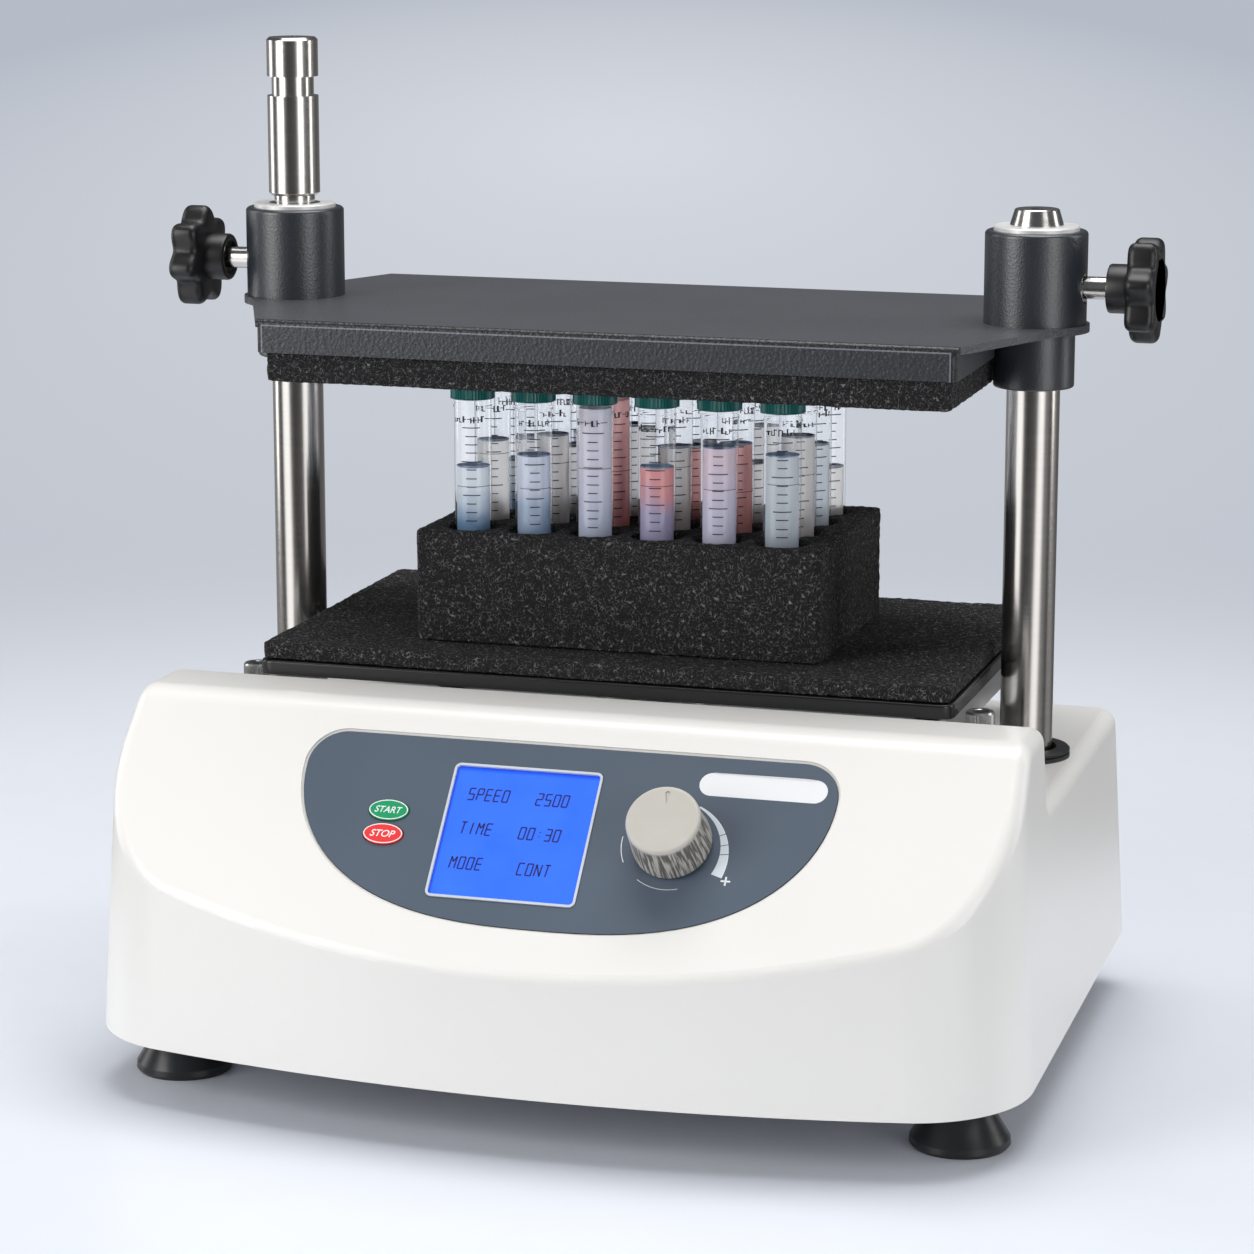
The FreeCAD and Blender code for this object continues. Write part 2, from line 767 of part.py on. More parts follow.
def front_ear(side):
    y = post_y - front_isolator_back
    low = carrier_flange_z
    inner = side * (carrier_half_x - carrier_sheet)
    outer = side * ear_outer_x
    ear = box(min(inner, outer), max(inner, outer), y - ear_half_width, y + ear_half_width, low, low + ear_sheet)
    return round_edges(ear, 6, lambda c, e: upright(c, e) and abs(c.x) > carrier_half_x)


def carrier_plate():
    top = carrier_top_z
    outer = box(-carrier_half_x, carrier_half_x, post_y - carrier_half_y, post_y + carrier_half_y,
                carrier_flange_z, top)
    outer = round_edges(outer, 2.5, lambda c, e: abs(c.z - top) < 0.1 and abs(c.x) > carrier_half_x - 1)
    inner = box(-carrier_half_x + carrier_sheet, carrier_half_x - carrier_sheet, post_y - carrier_half_y - 1,
                post_y + carrier_half_y + 1, carrier_flange_z - 1, top - carrier_sheet)
    plate = fuse([outer.cut(inner), front_ear(1), front_ear(-1)])
    holes = [disc(x, y, top - 10, top + 1, 2.5) for x, y in carrier_screw_places()]
    y = post_y - front_isolator_back
    holes += [disc(side * front_isolator_x, y, carrier_flange_z - 1, carrier_flange_z + ear_sheet + 1, 4.0)
              for side in (-1, 1)]
    return plate.cut(Part.makeCompound(holes))


def carrier_screws():
    top = carrier_top_z
    shanks = [disc(x, y, top - 12, top, 2.5) for x, y in carrier_screw_places()]
    return group(shanks)


def bored_for_screws(shape, low):
    holes = [disc(x, y, low, carrier_top_z, 2.5) for x, y in carrier_screw_places()]
    return shape.cut(Part.makeCompound(holes))


def rear_standoffs():
    pillars = group([disc(side * rear_isolator_x, post_y + rear_isolator_back, carrier_flange_z,
                          carrier_top_z - carrier_sheet, 8) for side in (-1, 1)])
    return bored_for_screws(pillars, carrier_top_z - 12)


def isolator_mounts():
    places = [(side * front_isolator_x, post_y - front_isolator_back) for side in (-1, 1)]
    places += [(side * rear_isolator_x, post_y + rear_isolator_back) for side in (-1, 1)]
    mounts = []
    low = deck_z
    high = carrier_flange_z
    waist = isolator_radius - 1.6
    for x, y in places:
        mounts.append(lathe(x, y, [(0, low), (isolator_radius, low), (isolator_radius, low + isolator_cap),
                                   (waist + 0.8, low + isolator_cap), (waist, (low + high) / 2),
                                   (waist + 0.8, high - isolator_cap), (isolator_radius, high - isolator_cap),
                                   (isolator_radius, high), (0, high)]))
    return group(mounts)


def isolator_screws():
    screws = []
    y = post_y - front_isolator_back
    low = carrier_flange_z + ear_sheet
    seat = low + spacer_thick
    top = seat + socket_head_height
    for side in (-1, 1):
        x = side * front_isolator_x
        spacer = disc(x, y, low, seat, socket_head_radius + 1.2)
        head = disc(x, y, seat, top, socket_head_radius)
        head = round_edges(head, 0.8, lambda c, e: abs(c.z - top) < 0.1)
        key = Part.Face(Part.makePolygon([V(x + socket_key_radius * math.cos(a), y + socket_key_radius * math.sin(a),
                                            top - 4) for a in [math.pi * k / 3 for k in range(7)]]))
        shank = disc(x, y, carrier_flange_z, low, 4.0)
        screws.append(fuse([spacer, head, shank]).cut(key.extrude(V(0, 0, 6))))
    return group(screws)


def tray():
    low = tray_lip_z
    outer = rounded_block(-tray_half_x, tray_half_x, post_y - tray_half_y, post_y + tray_half_y, low,
                          tray_top_z, tray_corner)
    outer = round_edges(outer, 1.2, lambda c, e: abs(c.z - tray_top_z) < 0.1)
    inner = rounded_block(-tray_half_x + tray_sheet, tray_half_x - tray_sheet, post_y - tray_half_y + tray_sheet,
                          post_y + tray_half_y - tray_sheet, low - 1, carrier_top_z, tray_corner - tray_sheet)
    return outer.cut(inner)


def base_mat():
    return rounded_block(-mat_half_x, mat_half_x, post_y - mat_half_y, post_y + mat_half_y, tray_top_z,
                         mat_top_z, mat_corner)


# Posts

def left_post():
    low = yoke_z + yoke_thick
    post = disc(-post_x, post_y, low, bush_top_z, post_radius)
    bolt_hole = disc(-post_x, post_y, low, low + 20, post_bolt_radius)
    spigot_hole = disc(-post_x, post_y, bush_top_z - 18, bush_top_z, 6)
    return post.cut(bolt_hole).cut(spigot_hole)


def right_post():
    low = yoke_z + yoke_thick
    shoulder = right_post_top_z - 7
    post = lathe(post_x, post_y, [(0, low), (post_radius, low), (post_radius, shoulder),
                                  (right_post_tip_radius, right_post_top_z - 0.4),
                                  (right_post_tip_radius - 0.6, right_post_top_z), (0, right_post_top_z)])
    bolt_hole = disc(post_x, post_y, low, low + 20, post_bolt_radius)
    centre = disc(post_x, post_y, right_post_top_z - 6, right_post_top_z, centre_hole_radius)
    return post.cut(bolt_hole).cut(centre)


def post_extension():
    top = extension_top_z
    neck_top = bush_top_z + extension_neck_height
    rim = post_radius - post_chamfer
    rod = lathe(-post_x, post_y, [(0, bush_top_z - 18), (6, bush_top_z - 18), (6, bush_top_z),
                                  (extension_neck_radius, bush_top_z), (extension_neck_radius, neck_top),
                                  (rim, neck_top), (post_radius, neck_top + post_chamfer),
                                  (post_radius, extension_groove_low_z), (extension_groove_radius, extension_groove_low_z),
                                  (extension_groove_radius, extension_groove_high_z),
                                  (post_radius, extension_groove_high_z), (post_radius, top - post_chamfer),
                                  (rim, top), (0, top)])
    return rod.cut(disc(-post_x, post_y, top - 7, top, centre_hole_radius))


def post_collar(side):
    x = side * post_x
    top = deck_z + collar_height
    under = deck_z - deck_wall
    mid = deck_z + collar_height / 2
    rim = collar_radius
    return lathe(x, motor_y, [(collar_bore_radius, under - 3), (collar_neck_radius + 1.6, under - 3),
                              (collar_neck_radius + 1.6, under), (collar_neck_radius, under),
                              (collar_neck_radius, deck_z), (rim, deck_z), (rim, mid - 0.5), (rim - 0.8, mid),
                              (rim, mid + 0.5), (rim, top - 0.8), (rim - 0.8, top), (collar_bore_radius, top)])


# Rack and tubes

def tube_places():
    places = []
    for column in range(tube_columns):
        for row in range(tube_rows):
            x = rack_centre_x + (column - (tube_columns - 1) / 2) * column_pitch
            y = post_y + rack_centre_back + (row - (tube_rows - 1) / 2) * row_pitch
            places.append((x, y))
    return places


def tube_rack():
    y = post_y + rack_centre_back
    block = rounded_block(rack_centre_x - rack_half_x, rack_centre_x + rack_half_x, y - rack_half_y,
                          y + rack_half_y, mat_top_z, mat_top_z + rack_height, 2.5)
    return block.cut(Part.makeCompound([disc(x, y, mat_top_z, mat_top_z + rack_height, hole_radius)
                                        for x, y in tube_places()]))


def sample_tubes():
    cap_low = tube_top_z - cap_height
    return group([lathe(x, y, [(0, mat_top_z), (tube_tip_radius, mat_top_z), (tube_radius, mat_top_z + tube_cone),
                               (tube_radius, cap_low + cap_skirt), (0, cap_low + cap_skirt)])
                  for x, y in tube_places()])


def tube_caps():
    low = tube_top_z - cap_height
    top = tube_top_z
    return group([lathe(x, y, [(tube_radius, low), (cap_radius, low), (cap_radius, top - 0.7),
                               (cap_radius - 0.7, top), (0, top), (0, low + cap_skirt), (tube_radius, low + cap_skirt)])
                  for x, y in tube_places()])


# Clamp plate

def ear_plan(side):
    """Triangle that runs from the plate's two corners out to the round ear."""
    angle = math.radians(ear_join_angle)
    x = side * (post_x + ear_radius * math.cos(angle))
    reach = ear_radius * math.sin(angle)
    corner = side * plate_half_x
    points = [V(corner, post_y - plate_half_y, plate_low_z), V(x, post_y - reach, plate_low_z),
              V(x, post_y + reach, plate_low_z), V(corner, post_y + plate_half_y, plate_low_z)]
    return Part.Face(Part.makePolygon(points + [points[0]])).extrude(V(0, 0, plate_thick))


def clamp_plate():
    y0 = post_y - plate_half_y
    y1 = post_y + plate_half_y
    lip_z = plate_low_z - plate_lip
    ears = [ear_plan(side) for side in (-1, 1)]
    ears += [disc(side * post_x, post_y, plate_low_z, plate_top_z, ear_radius) for side in (-1, 1)]
    sheet = fuse([box(-plate_half_x, plate_half_x, y0, y1, plate_low_z, plate_top_z)] + ears)
    join_x = post_x + 10
    sheet = round_edges(sheet, ear_join_radius, lambda c, e: upright(c, e) and abs(c.x) > join_x)
    skirt = rounded_block(-plate_half_x, plate_half_x, y0, y1, lip_z, plate_low_z, plate_corner)
    hollow = box(-plate_half_x + plate_sheet, plate_half_x - plate_sheet, y0 + plate_sheet, y1 - plate_sheet,
                 lip_z, plate_low_z)
    relief = [disc(side * post_x, post_y, lip_z, plate_low_z, sleeve_radius + sleeve_relief) for side in (-1, 1)]
    plate = fuse([sheet, skirt.cut(Part.makeCompound([hollow] + relief))])
    plate = round_edges(plate, plate_edge_radius,
                        lambda c, e: abs(c.x) < 1 and abs(c.z - plate_top_z) < 0.1 and (abs(c.y - y0) < 0.1 or abs(c.y - y1) < 0.1))
    return plate.cut(Part.makeCompound([disc(side * post_x, post_y, plate_low_z, plate_top_z, sleeve_radius)
                                        for side in (-1, 1)]))


def upper_foam_pad():
    half_x = plate_half_x - plate_sheet - foam_inset
    half_y = plate_half_y - plate_sheet - foam_inset
    return rounded_block(-half_x, half_x, post_y - half_y, post_y + half_y, foam_bottom_z, plate_low_z, 2.0)


def hub(side):
    x = side * post_x
    head = disc(x, post_y, plate_top_z, hub_top_z, hub_radius)
    head = round_edges(head, hub_edge_radius, lambda c, e: abs(c.z - hub_top_z) < 0.1)
    sleeve = disc(x, post_y, sleeve_bottom_z, plate_top_z, sleeve_radius)
    sleeve = round_edges(sleeve, 1.0, lambda c, e: abs(c.z - sleeve_bottom_z) < 0.1)
    bore = disc(x, post_y, sleeve_bottom_z, hub_top_z, post_radius + running_gap)
    neck = disc(x, post_y, hub_top_z - bush_neck_length, hub_top_z, bush_neck_radius)
    outward = x if side > 0 else x - hub_radius
    screw_way = along_x(outward, post_y, clamp_axis_z, hub_radius, stud_radius + 0.3)
    depth = insert_length + insert_setback
    seat_x = x + hub_radius - depth if side > 0 else x - hub_radius
    seat = along_x(seat_x, post_y, clamp_axis_z, depth, insert_radius)
    return fuse([head, sleeve]).cut(Part.makeCompound([bore, neck])).cut(Part.makeCompound([screw_way, seat]))


def hub_bush(side):
    x = side * post_x
    neck = hub_top_z - bush_neck_length
    bore = post_radius + running_gap
    bush = lathe(x, post_y, [(bore, neck), (bush_neck_radius, neck), (bush_neck_radius, hub_top_z),
                             (bush_flange_radius, hub_top_z), (bush_flange_radius, bush_top_z - 0.5),
                             (bush_flange_radius - 0.5, bush_top_z), (bore, bush_top_z)])
    outward = x if side > 0 else x - hub_radius
    return bush.cut(along_x(outward, post_y, clamp_axis_z, hub_radius, stud_radius + 0.3))


def hub_insert():
    start = post_x + hub_radius - insert_setback - insert_length
    body = along_x(start, post_y, clamp_axis_z, insert_length, insert_radius)
    return body.cut(along_x(start, post_y, clamp_axis_z, insert_length, stud_radius + running_gap))


def clamp_pad():
    return along_x(post_x + post_radius + pad_gap, post_y, clamp_axis_z, pad_length, stud_radius - 0.2)


def clamp_stud():
    start = post_x + post_radius + pad_gap + pad_length
    return along_x(start, post_y, clamp_axis_z, disc_start_x + stud_in_disc - start, stud_radius)


def star_outline(x):
    steps = disc_lobes * 4
    points = []
    for i in range(steps):
        angle = 2 * math.pi * i / steps
        radius = disc_mean_radius + disc_lobe * math.cos(disc_lobes * angle)
        points.append(V(x, post_y + radius * math.sin(angle), clamp_axis_z + radius * math.cos(angle)))
    curve = Part.BSplineCurve()
    curve.interpolate(Points=points, PeriodicFlag=True)
    return Part.Face(Part.Wire(curve.toShape()))


def clamp_knob():
    star = star_outline(disc_start_x).extrude(V(disc_end_x - disc_start_x, 0, 0))
    star = round_edges(star, disc_edge_radius, lambda c, e: True)
    boss = along_x(boss_start_x, post_y, clamp_axis_z, disc_start_x - boss_start_x + 2, boss_radius)
    boss = round_edges(boss, 1.0, lambda c, e: abs(c.x - boss_start_x) < 0.1)
    cap = along_x(disc_end_x - disc_cap_depth, post_y, clamp_axis_z, disc_cap_depth + 1, disc_cap_radius)
    cap = cap.cut(along_x(disc_end_x - disc_cap_depth, post_y, clamp_axis_z, disc_cap_depth + 1,
                          disc_cap_radius - 1.0))
    bore = along_x(boss_start_x, post_y, clamp_axis_z, boss_length + stud_in_disc, stud_radius)
    sink = along_x(boss_start_x, post_y, clamp_axis_z, boss_sink_depth, boss_sink_radius)
    return fuse([star, boss]).cut(cap).cut(fuse([bore, sink]))


# Mains pieces

def power_inlet():
    face = rear_y - mains_recess
    flange = box(inlet_x - inlet_flange_x, inlet_x + inlet_flange_x, face, face + switch_flange,
                 mains_z - inlet_flange_z, mains_z + inlet_flange_z)
    flange = round_edges(flange, 3, lambda c, e: abs(abs(c.x - inlet_x) - inlet_flange_x) < 0.1 and abs(
        abs(c.z - mains_z) - inlet_flange_z) < 0.1)
    gap = 0.1
    body = box(inlet_x - inlet_half_x + gap, inlet_x + inlet_half_x - gap, face - inlet_depth, face,
               mains_z - inlet_half_z + gap, mains_z + inlet_half_z - gap)
    cavity = box(inlet_x - inlet_half_x + 2, inlet_x + inlet_half_x - 2, face - inlet_depth + 4,
                 face + switch_flange, mains_z - inlet_half_z + 2, mains_z + inlet_half_z - 2)
    blades = [box(inlet_x + u - 1, inlet_x + u + 1, face - inlet_depth + 4, face - 4, mains_z + w - 2,
                  mains_z + w + 2) for u, w in ((-7, -2), (0, 2.5), (7, -2))]
    return fuse([flange.fuse(body).cut(cavity)] + blades)


def switch_frame():
    face = rear_y - mains_recess
    flange = box(switch_x - switch_half_x - 2, switch_x + switch_half_x + 2, face, face + switch_flange,
                 mains_z - switch_half_z - 2, mains_z + switch_half_z + 2)
    gap = 0.1
    body = box(switch_x - switch_half_x + gap, switch_x + switch_half_x - gap, face - switch_depth, face,
               mains_z - switch_half_z + gap, mains_z + switch_half_z - gap)
    inner_x = rocker_half_x + rocker_gap
    inner_z = rocker_reach + 1.3
    cavity = box(switch_x - inner_x, switch_x + inner_x, face - switch_depth + 2, face + switch_flange,
                 mains_z - inner_z, mains_z + inner_z)
    pins = along_x(switch_x - rocker_half_x - rocker_pin_length - 0.2, rocker_axis_y(), mains_z,
                   2 * (rocker_half_x + rocker_pin_length + 0.2), rocker_pin_radius + running_gap)
    return flange.fuse(body).cut(Part.makeCompound([cavity, pins]))


def rocker_axis_y():
    return rear_y - mains_recess - 1.5


def power_rocker():
    y = rocker_axis_y()
    x = switch_x - rocker_half_x
    outline = [(-5, -6.5), (1.0, -rocker_reach), (3.4, -rocker_reach + 0.6), (2.2, 0),
               (3.4, rocker_reach - 0.6), (1.0, rocker_reach), (-5, 6.5)]
    points = [V(x, y + a, mains_z + b) for a, b in outline]
    body = Part.Face(Part.makePolygon(points + [points[0]])).extrude(V(2 * rocker_half_x, 0, 0))
    pins = along_x(x - rocker_pin_length, y, mains_z, 2 * (rocker_half_x + rocker_pin_length), rocker_pin_radius)
    rocker = fuse([body, pins])
    rocker.rotate(V(switch_x, y, mains_z), V(1, 0, 0), -rocker_tilt)
    return rocker


def power_board():
    y = motor_y - 20
    low = pan_top_z + supply_lift
    x0 = supply_x - supply_half_x
    x1 = supply_x + supply_half_x
    board = box(x0, x1, y - supply_half_y, y + supply_half_y, low, low + board_thick)
    posts = [disc(x, y + w, pan_top_z, low, 3.5) for x in (x0 + 6, x1 - 6)
             for w in (-supply_half_y + 6, supply_half_y - 6)]
    transformer = rounded_block(x0 + 10, x0 + 46, y - 20, y + 14, low + board_thick, low + 32, 2)
    capacitors = [disc(x1 - 16, y + w, low + board_thick, low + 24, 7) for w in (-30, -8, 14)]
    heatsink = box(x0 + 8, x1 - 10, y + 32, y + 36, low + board_thick, low + 30)
    return fuse([board, transformer, heatsink] + posts + capacitors)


def build():
    parts = {
        "housing_shell": housing_shell(), "chassis_plate": chassis_plate(), "chassis_screws": chassis_screws(),
        "foot_studs": foot_studs(), "control_panel": control_panel(), "lcd_bezel": lcd_bezel(),
        "lcd_screen": lcd_screen(), "control_board": control_board(), "key_switches": key_switches(),
        "speed_encoder": speed_encoder(), "encoder_shaft": encoder_shaft(), "speed_knob": speed_knob(),
        "start_button": push_key(start_s), "stop_button": push_key(stop_s), "power_board": power_board(),
        "power_inlet": power_inlet(), "switch_frame": switch_frame(), "power_rocker": power_rocker(),
        "motor_body": motor_body(), "motor_plate": motor_plate(), "motor_pillars": motor_pillars(),
        "motor_screws": motor_screws(), "eccentric_shaft": eccentric_shaft(), "counterweight": counterweight(),
        "drive_bearing": drive_bearing(), "bearing_housing": bored_for_screws(bearing_housing(), carrier_top_z - 12),
        "yoke_beam": yoke_beam(), "yoke_screws": yoke_screws(), "post_bolts": post_bolts(),
        "carrier_plate": carrier_plate(), "carrier_screws": carrier_screws(), "rear_standoffs": rear_standoffs(),
        "isolator_mounts": isolator_mounts(), "isolator_screws": isolator_screws(), "tray": tray(),
        "base_mat": base_mat(), "left_post": left_post(), "right_post": right_post(),
        "post_extension": post_extension(), "left_post_collar": post_collar(-1),
        "right_post_collar": post_collar(1), "tube_rack": tube_rack(), "sample_tubes": sample_tubes(),
        "tube_caps": tube_caps(), "clamp_plate": clamp_plate(), "upper_foam_pad": upper_foam_pad(),
        "left_hub": hub(-1), "right_hub": hub(1), "hub_bushes": group([hub_bush(-1), hub_bush(1)]),
        "hub_inserts": group([hub_insert(), mirrored(hub_insert())]),
        "right_clamp_pad": clamp_pad(), "left_clamp_pad": mirrored(clamp_pad()),
        "right_clamp_stud": clamp_stud(), "left_clamp_stud": mirrored(clamp_stud()),
        "right_clamp_knob": clamp_knob(), "left_clamp_knob": mirrored(clamp_knob()),
    }
    for name, (x, y) in foot_places().items():
        parts[name] = suction_foot(x, y)
    return parts


os.makedirs("parts", exist_ok=True)
for node, shape in build().items():
    single(shape).exportStep("parts/" + node + ".step")
print("parts written")
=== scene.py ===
import bmesh
import bpy
import json
import math
import random
from mathutils import Matrix, Vector, noise


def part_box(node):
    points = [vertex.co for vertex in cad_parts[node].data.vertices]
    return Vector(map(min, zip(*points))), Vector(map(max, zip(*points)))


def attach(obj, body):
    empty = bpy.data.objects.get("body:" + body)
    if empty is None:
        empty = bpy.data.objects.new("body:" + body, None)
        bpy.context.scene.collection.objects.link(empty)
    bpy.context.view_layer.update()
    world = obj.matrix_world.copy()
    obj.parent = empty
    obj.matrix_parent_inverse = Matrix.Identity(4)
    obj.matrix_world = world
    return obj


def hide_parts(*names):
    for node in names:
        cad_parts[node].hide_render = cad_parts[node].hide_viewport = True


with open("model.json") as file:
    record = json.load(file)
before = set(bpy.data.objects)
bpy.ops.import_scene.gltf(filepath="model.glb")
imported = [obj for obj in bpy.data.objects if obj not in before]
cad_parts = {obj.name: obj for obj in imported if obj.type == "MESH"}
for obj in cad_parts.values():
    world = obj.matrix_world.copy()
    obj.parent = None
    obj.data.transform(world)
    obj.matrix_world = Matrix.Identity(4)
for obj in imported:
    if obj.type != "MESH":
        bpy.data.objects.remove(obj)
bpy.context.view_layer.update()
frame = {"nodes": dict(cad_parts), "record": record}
cadNodes = frame["nodes"]
print("frame loaded with", len(cadNodes), "nodes")

mm = 0.001
postY = 0.0545
tubeRows = {"columns": 6, "rows": 4, "columnPitch": 29.2 * mm, "rowPitch": 28 * mm,
            "centre": (0.8 * mm, 47.15 * mm)}
face = {"tilt": math.radians(47.73), "origin": (0, -0.1625, 0.0818)}  # the console's sloping face
faceMatrix = Matrix.Translation(face["origin"]) @ Matrix.Rotation(face["tilt"], 4, "X")


# Camera, measured from the photograph
shot = {"position": (0.5038, -1.6593, 0.5669), "down": 12.03, "left": 16.8, "lens": 111.95}
cameraData = bpy.data.cameras.new("photoCamera")
cameraData.lens = shot["lens"]
cameraData.sensor_width = 36
camera = bpy.data.objects.new("photoCamera", cameraData)
camera.location = shot["position"]
camera.rotation_euler = (math.radians(90 - shot["down"]), 0, math.radians(shot["left"]))
bpy.context.scene.collection.objects.link(camera)
bpy.context.scene.camera = camera
bpy.context.scene.view_settings.view_transform = "Standard"
print("camera placed")


# Shader helpers

def put(tree, kind, **values):
    shaderNode = tree.nodes.new(kind)
    for name, value in values.items():
        if name in shaderNode.inputs:
            shaderNode.inputs[name].default_value = value
        else:
            setattr(shaderNode, name, value)
    return shaderNode


def join(tree, source, target):
    tree.links.new(source, target)


def blendColour(tree, factor, first, second):
    mix = put(tree, "ShaderNodeMix", data_type="RGBA")
    join(tree, factor, mix.inputs[0])
    for socket, value in ((mix.inputs[6], first), (mix.inputs[7], second)):
        if isinstance(value, tuple):
            socket.default_value = (*value, 1)
        else:
            join(tree, value, socket)
    return mix.outputs[2]


def mapValue(tree, source, low, high, fromLow=0.0, fromHigh=1.0):
    ranger = put(tree, "ShaderNodeMapRange")
    join(tree, source, ranger.inputs[0])
    for index, value in enumerate((fromLow, fromHigh, low, high), start=1):
        ranger.inputs[index].default_value = value
    return ranger.outputs[0]


def combine(tree, operation, first, second):
    maths = put(tree, "ShaderNodeMath", operation=operation)
    for socket, value in zip(maths.inputs, (first, second)):
        if isinstance(value, (int, float)):
            socket.default_value = value
        else:
            join(tree, value, socket)
    return maths.outputs[0]


def blendValue(tree, factor, first, second):
    mix = put(tree, "ShaderNodeMix", data_type="FLOAT")
    for socket, source in ((mix.inputs[0], factor), (mix.inputs[2], first), (mix.inputs[3], second)):
        join(tree, source, socket)
    return mix.outputs[0]


def blendShaders(tree, factor, first, second):
    mixer = tree.nodes.new("ShaderNodeMixShader")
    for socket, source in zip(mixer.inputs, (factor, first, second)):
        join(tree, source, socket)
    return mixer.outputs[0]


def smoothRise(tree, source, low, high):
    ranger = put(tree, "ShaderNodeMapRange", interpolation_type="SMOOTHSTEP")
    join(tree, source, ranger.inputs[0])
    ranger.inputs[1].default_value = low
    ranger.inputs[2].default_value = high
    return ranger.outputs[0]


def objectPlace(tree):
    return tree.nodes.new("ShaderNodeTexCoord").outputs["Object"]


def partsOf(tree, vector):
    split = tree.nodes.new("ShaderNodeSeparateXYZ")
    join(tree, vector, split.inputs[0])
    return split.outputs


def lengthOf(tree, vector):
    reach = put(tree, "ShaderNodeVectorMath", operation="LENGTH")
    join(tree, vector, reach.inputs[0])
    return reach.outputs["Value"]


def turnedPlace(tree, origin, turn, scale=(1, 1, 1)):
    moved = put(tree, "ShaderNodeMapping", vector_type="TEXTURE")
    for title, value in (("Location", origin), ("Rotation", turn), ("Scale", scale)):
        moved.inputs[title].default_value = value
    join(tree, objectPlace(tree), moved.inputs["Vector"])
    return moved.outputs[0]


def newMaterial(name, rough=0.4, metal=0.0, **sockets):
    material = bpy.data.materials.new(name)
    material.use_nodes = True
    tree = material.node_tree
    shader = tree.nodes["Principled BSDF"]
    shader.inputs["Roughness"].default_value = rough
    shader.inputs["Metallic"].default_value = metal
    for title, value in sockets.items():
        shader.inputs[title].default_value = value
    return material, tree, shader


def newGroup(name, inputs, outputs):
    group = bpy.data.node_groups.new(name, "ShaderNodeTree")
    for title, value in inputs.items():
        socket = group.interface.new_socket(title, in_out="INPUT", socket_type="NodeSocketFloat")
        socket.default_value = value
    for title in outputs:
        group.interface.new_socket(title, in_out="OUTPUT", socket_type="NodeSocketFloat")
    return group, group.nodes.new("NodeGroupInput"), group.nodes.new("NodeGroupOutput")


def noiseOf(tree, vector, scale, detail=3.0, rough=0.5):
    texture = put(tree, "ShaderNodeTexNoise", Detail=detail, Roughness=rough)
    join(tree, vector, texture.inputs["Vector"])
    if isinstance(scale, (int, float)):
        texture.inputs["Scale"].default_value = scale
    else:
        join(tree, scale, texture.inputs["Scale"])
    return texture.outputs["Fac"]


def makeGrainGroup():
    group, start, end = newGroup("fineGrain", {"Scale": 900.0, "Mottle Scale": 14.0}, ["Grain", "Mottle"])
    place = objectPlace(group)
    join(group, noiseOf(group, place, start.outputs["Scale"], 4), end.inputs["Grain"])
    join(group, noiseOf(group, place, start.outputs["Mottle Scale"], 3), end.inputs["Mottle"])
    return group


def makeFoamGroup():
    group, start, end = newGroup("openCells", {"Scale": 560.0, "Width": 0.045}, ["Height", "Strand", "Mottle"])
    place = objectPlace(group)
    layers = []
    for stretch, share in ((1.0, 1.0), (1.73, 0.75)):
        size = combine(group, "MULTIPLY", start.outputs["Scale"], stretch)
        worms = noiseOf(group, place, size, 0.0)
        ridge = combine(group, "ABSOLUTE", combine(group, "SUBTRACT", worms, 0.5), 0.0)
        wall = put(group, "ShaderNodeMapRange", interpolation_type="SMOOTHSTEP")
        join(group, ridge, wall.inputs[0])
        join(group, start.outputs["Width"], wall.inputs[2])
        wall.inputs[3].default_value = share
        wall.inputs[4].default_value = 0.0
        breaks = noiseOf(group, place, combine(group, "MULTIPLY", size, 0.83), 2.0)
        whole = mapValue(group, breaks, 0.0, 1.0, 0.46, 0.6)
        layers.append((wall.outputs[0], combine(group, "MULTIPLY", wall.outputs[0], whole)))
    join(group, combine(group, "MAXIMUM", layers[0][0], layers[1][0]), end.inputs["Height"])
    join(group, combine(group, "MAXIMUM", layers[0][1], layers[1][1]), end.inputs["Strand"])
    join(group, noiseOf(group, place, 25.0), end.inputs["Mottle"])
    return group


def makeHammerGroup():
    group, start, end = newGroup("hammeredPaint", {"Scale": 330.0}, ["Height", "Fleck", "Mottle"])
    place = objectPlace(group)
    dents = put(group, "ShaderNodeTexVoronoi", feature="SMOOTH_F1", Smoothness=0.7)
    join(group, place, dents.inputs["Vector"])
    join(group, start.outputs["Scale"], dents.inputs["Scale"])
    soft = noiseOf(group, place, combine(group, "MULTIPLY", start.outputs["Scale"], 1.7), 4)
    join(group, combine(group, "ADD", dents.outputs["Distance"], soft), end.inputs["Height"])
    flecks = noiseOf(group, place, combine(group, "MULTIPLY", start.outputs["Scale"], 4.5), 2)
    join(group, mapValue(group, flecks, 0.0, 1.0, 0.58, 0.75), end.inputs["Fleck"])
    join(group, noiseOf(group, place, 18.0), end.inputs["Mottle"])
    return group


def makeBrushGroup():
    group, start, end = newGroup("brushedLines", {"Along": 40.0, "Across": 2500.0}, ["Streak"])
    place = objectPlace(group)
    packed = group.nodes.new("ShaderNodeCombineXYZ")
    for source, title, socket in zip(partsOf(group, place), ("Along", "Along", "Across"), packed.inputs):
        join(group, combine(group, "MULTIPLY", source, start.outputs[title]), socket)
    join(group, noiseOf(group, packed.outputs[0], 1.0, 3), end.inputs["Streak"])
    return group


groups = {"grain": makeGrainGroup(), "foam": makeFoamGroup(), "hammer": makeHammerGroup(), "brush": makeBrushGroup()}


def useGroup(tree, key, **values):
    holder = tree.nodes.new("ShaderNodeGroup")
    holder.node_tree = groups[key]
    for title, value in values.items():
        holder.inputs[title].default_value = value
    return holder


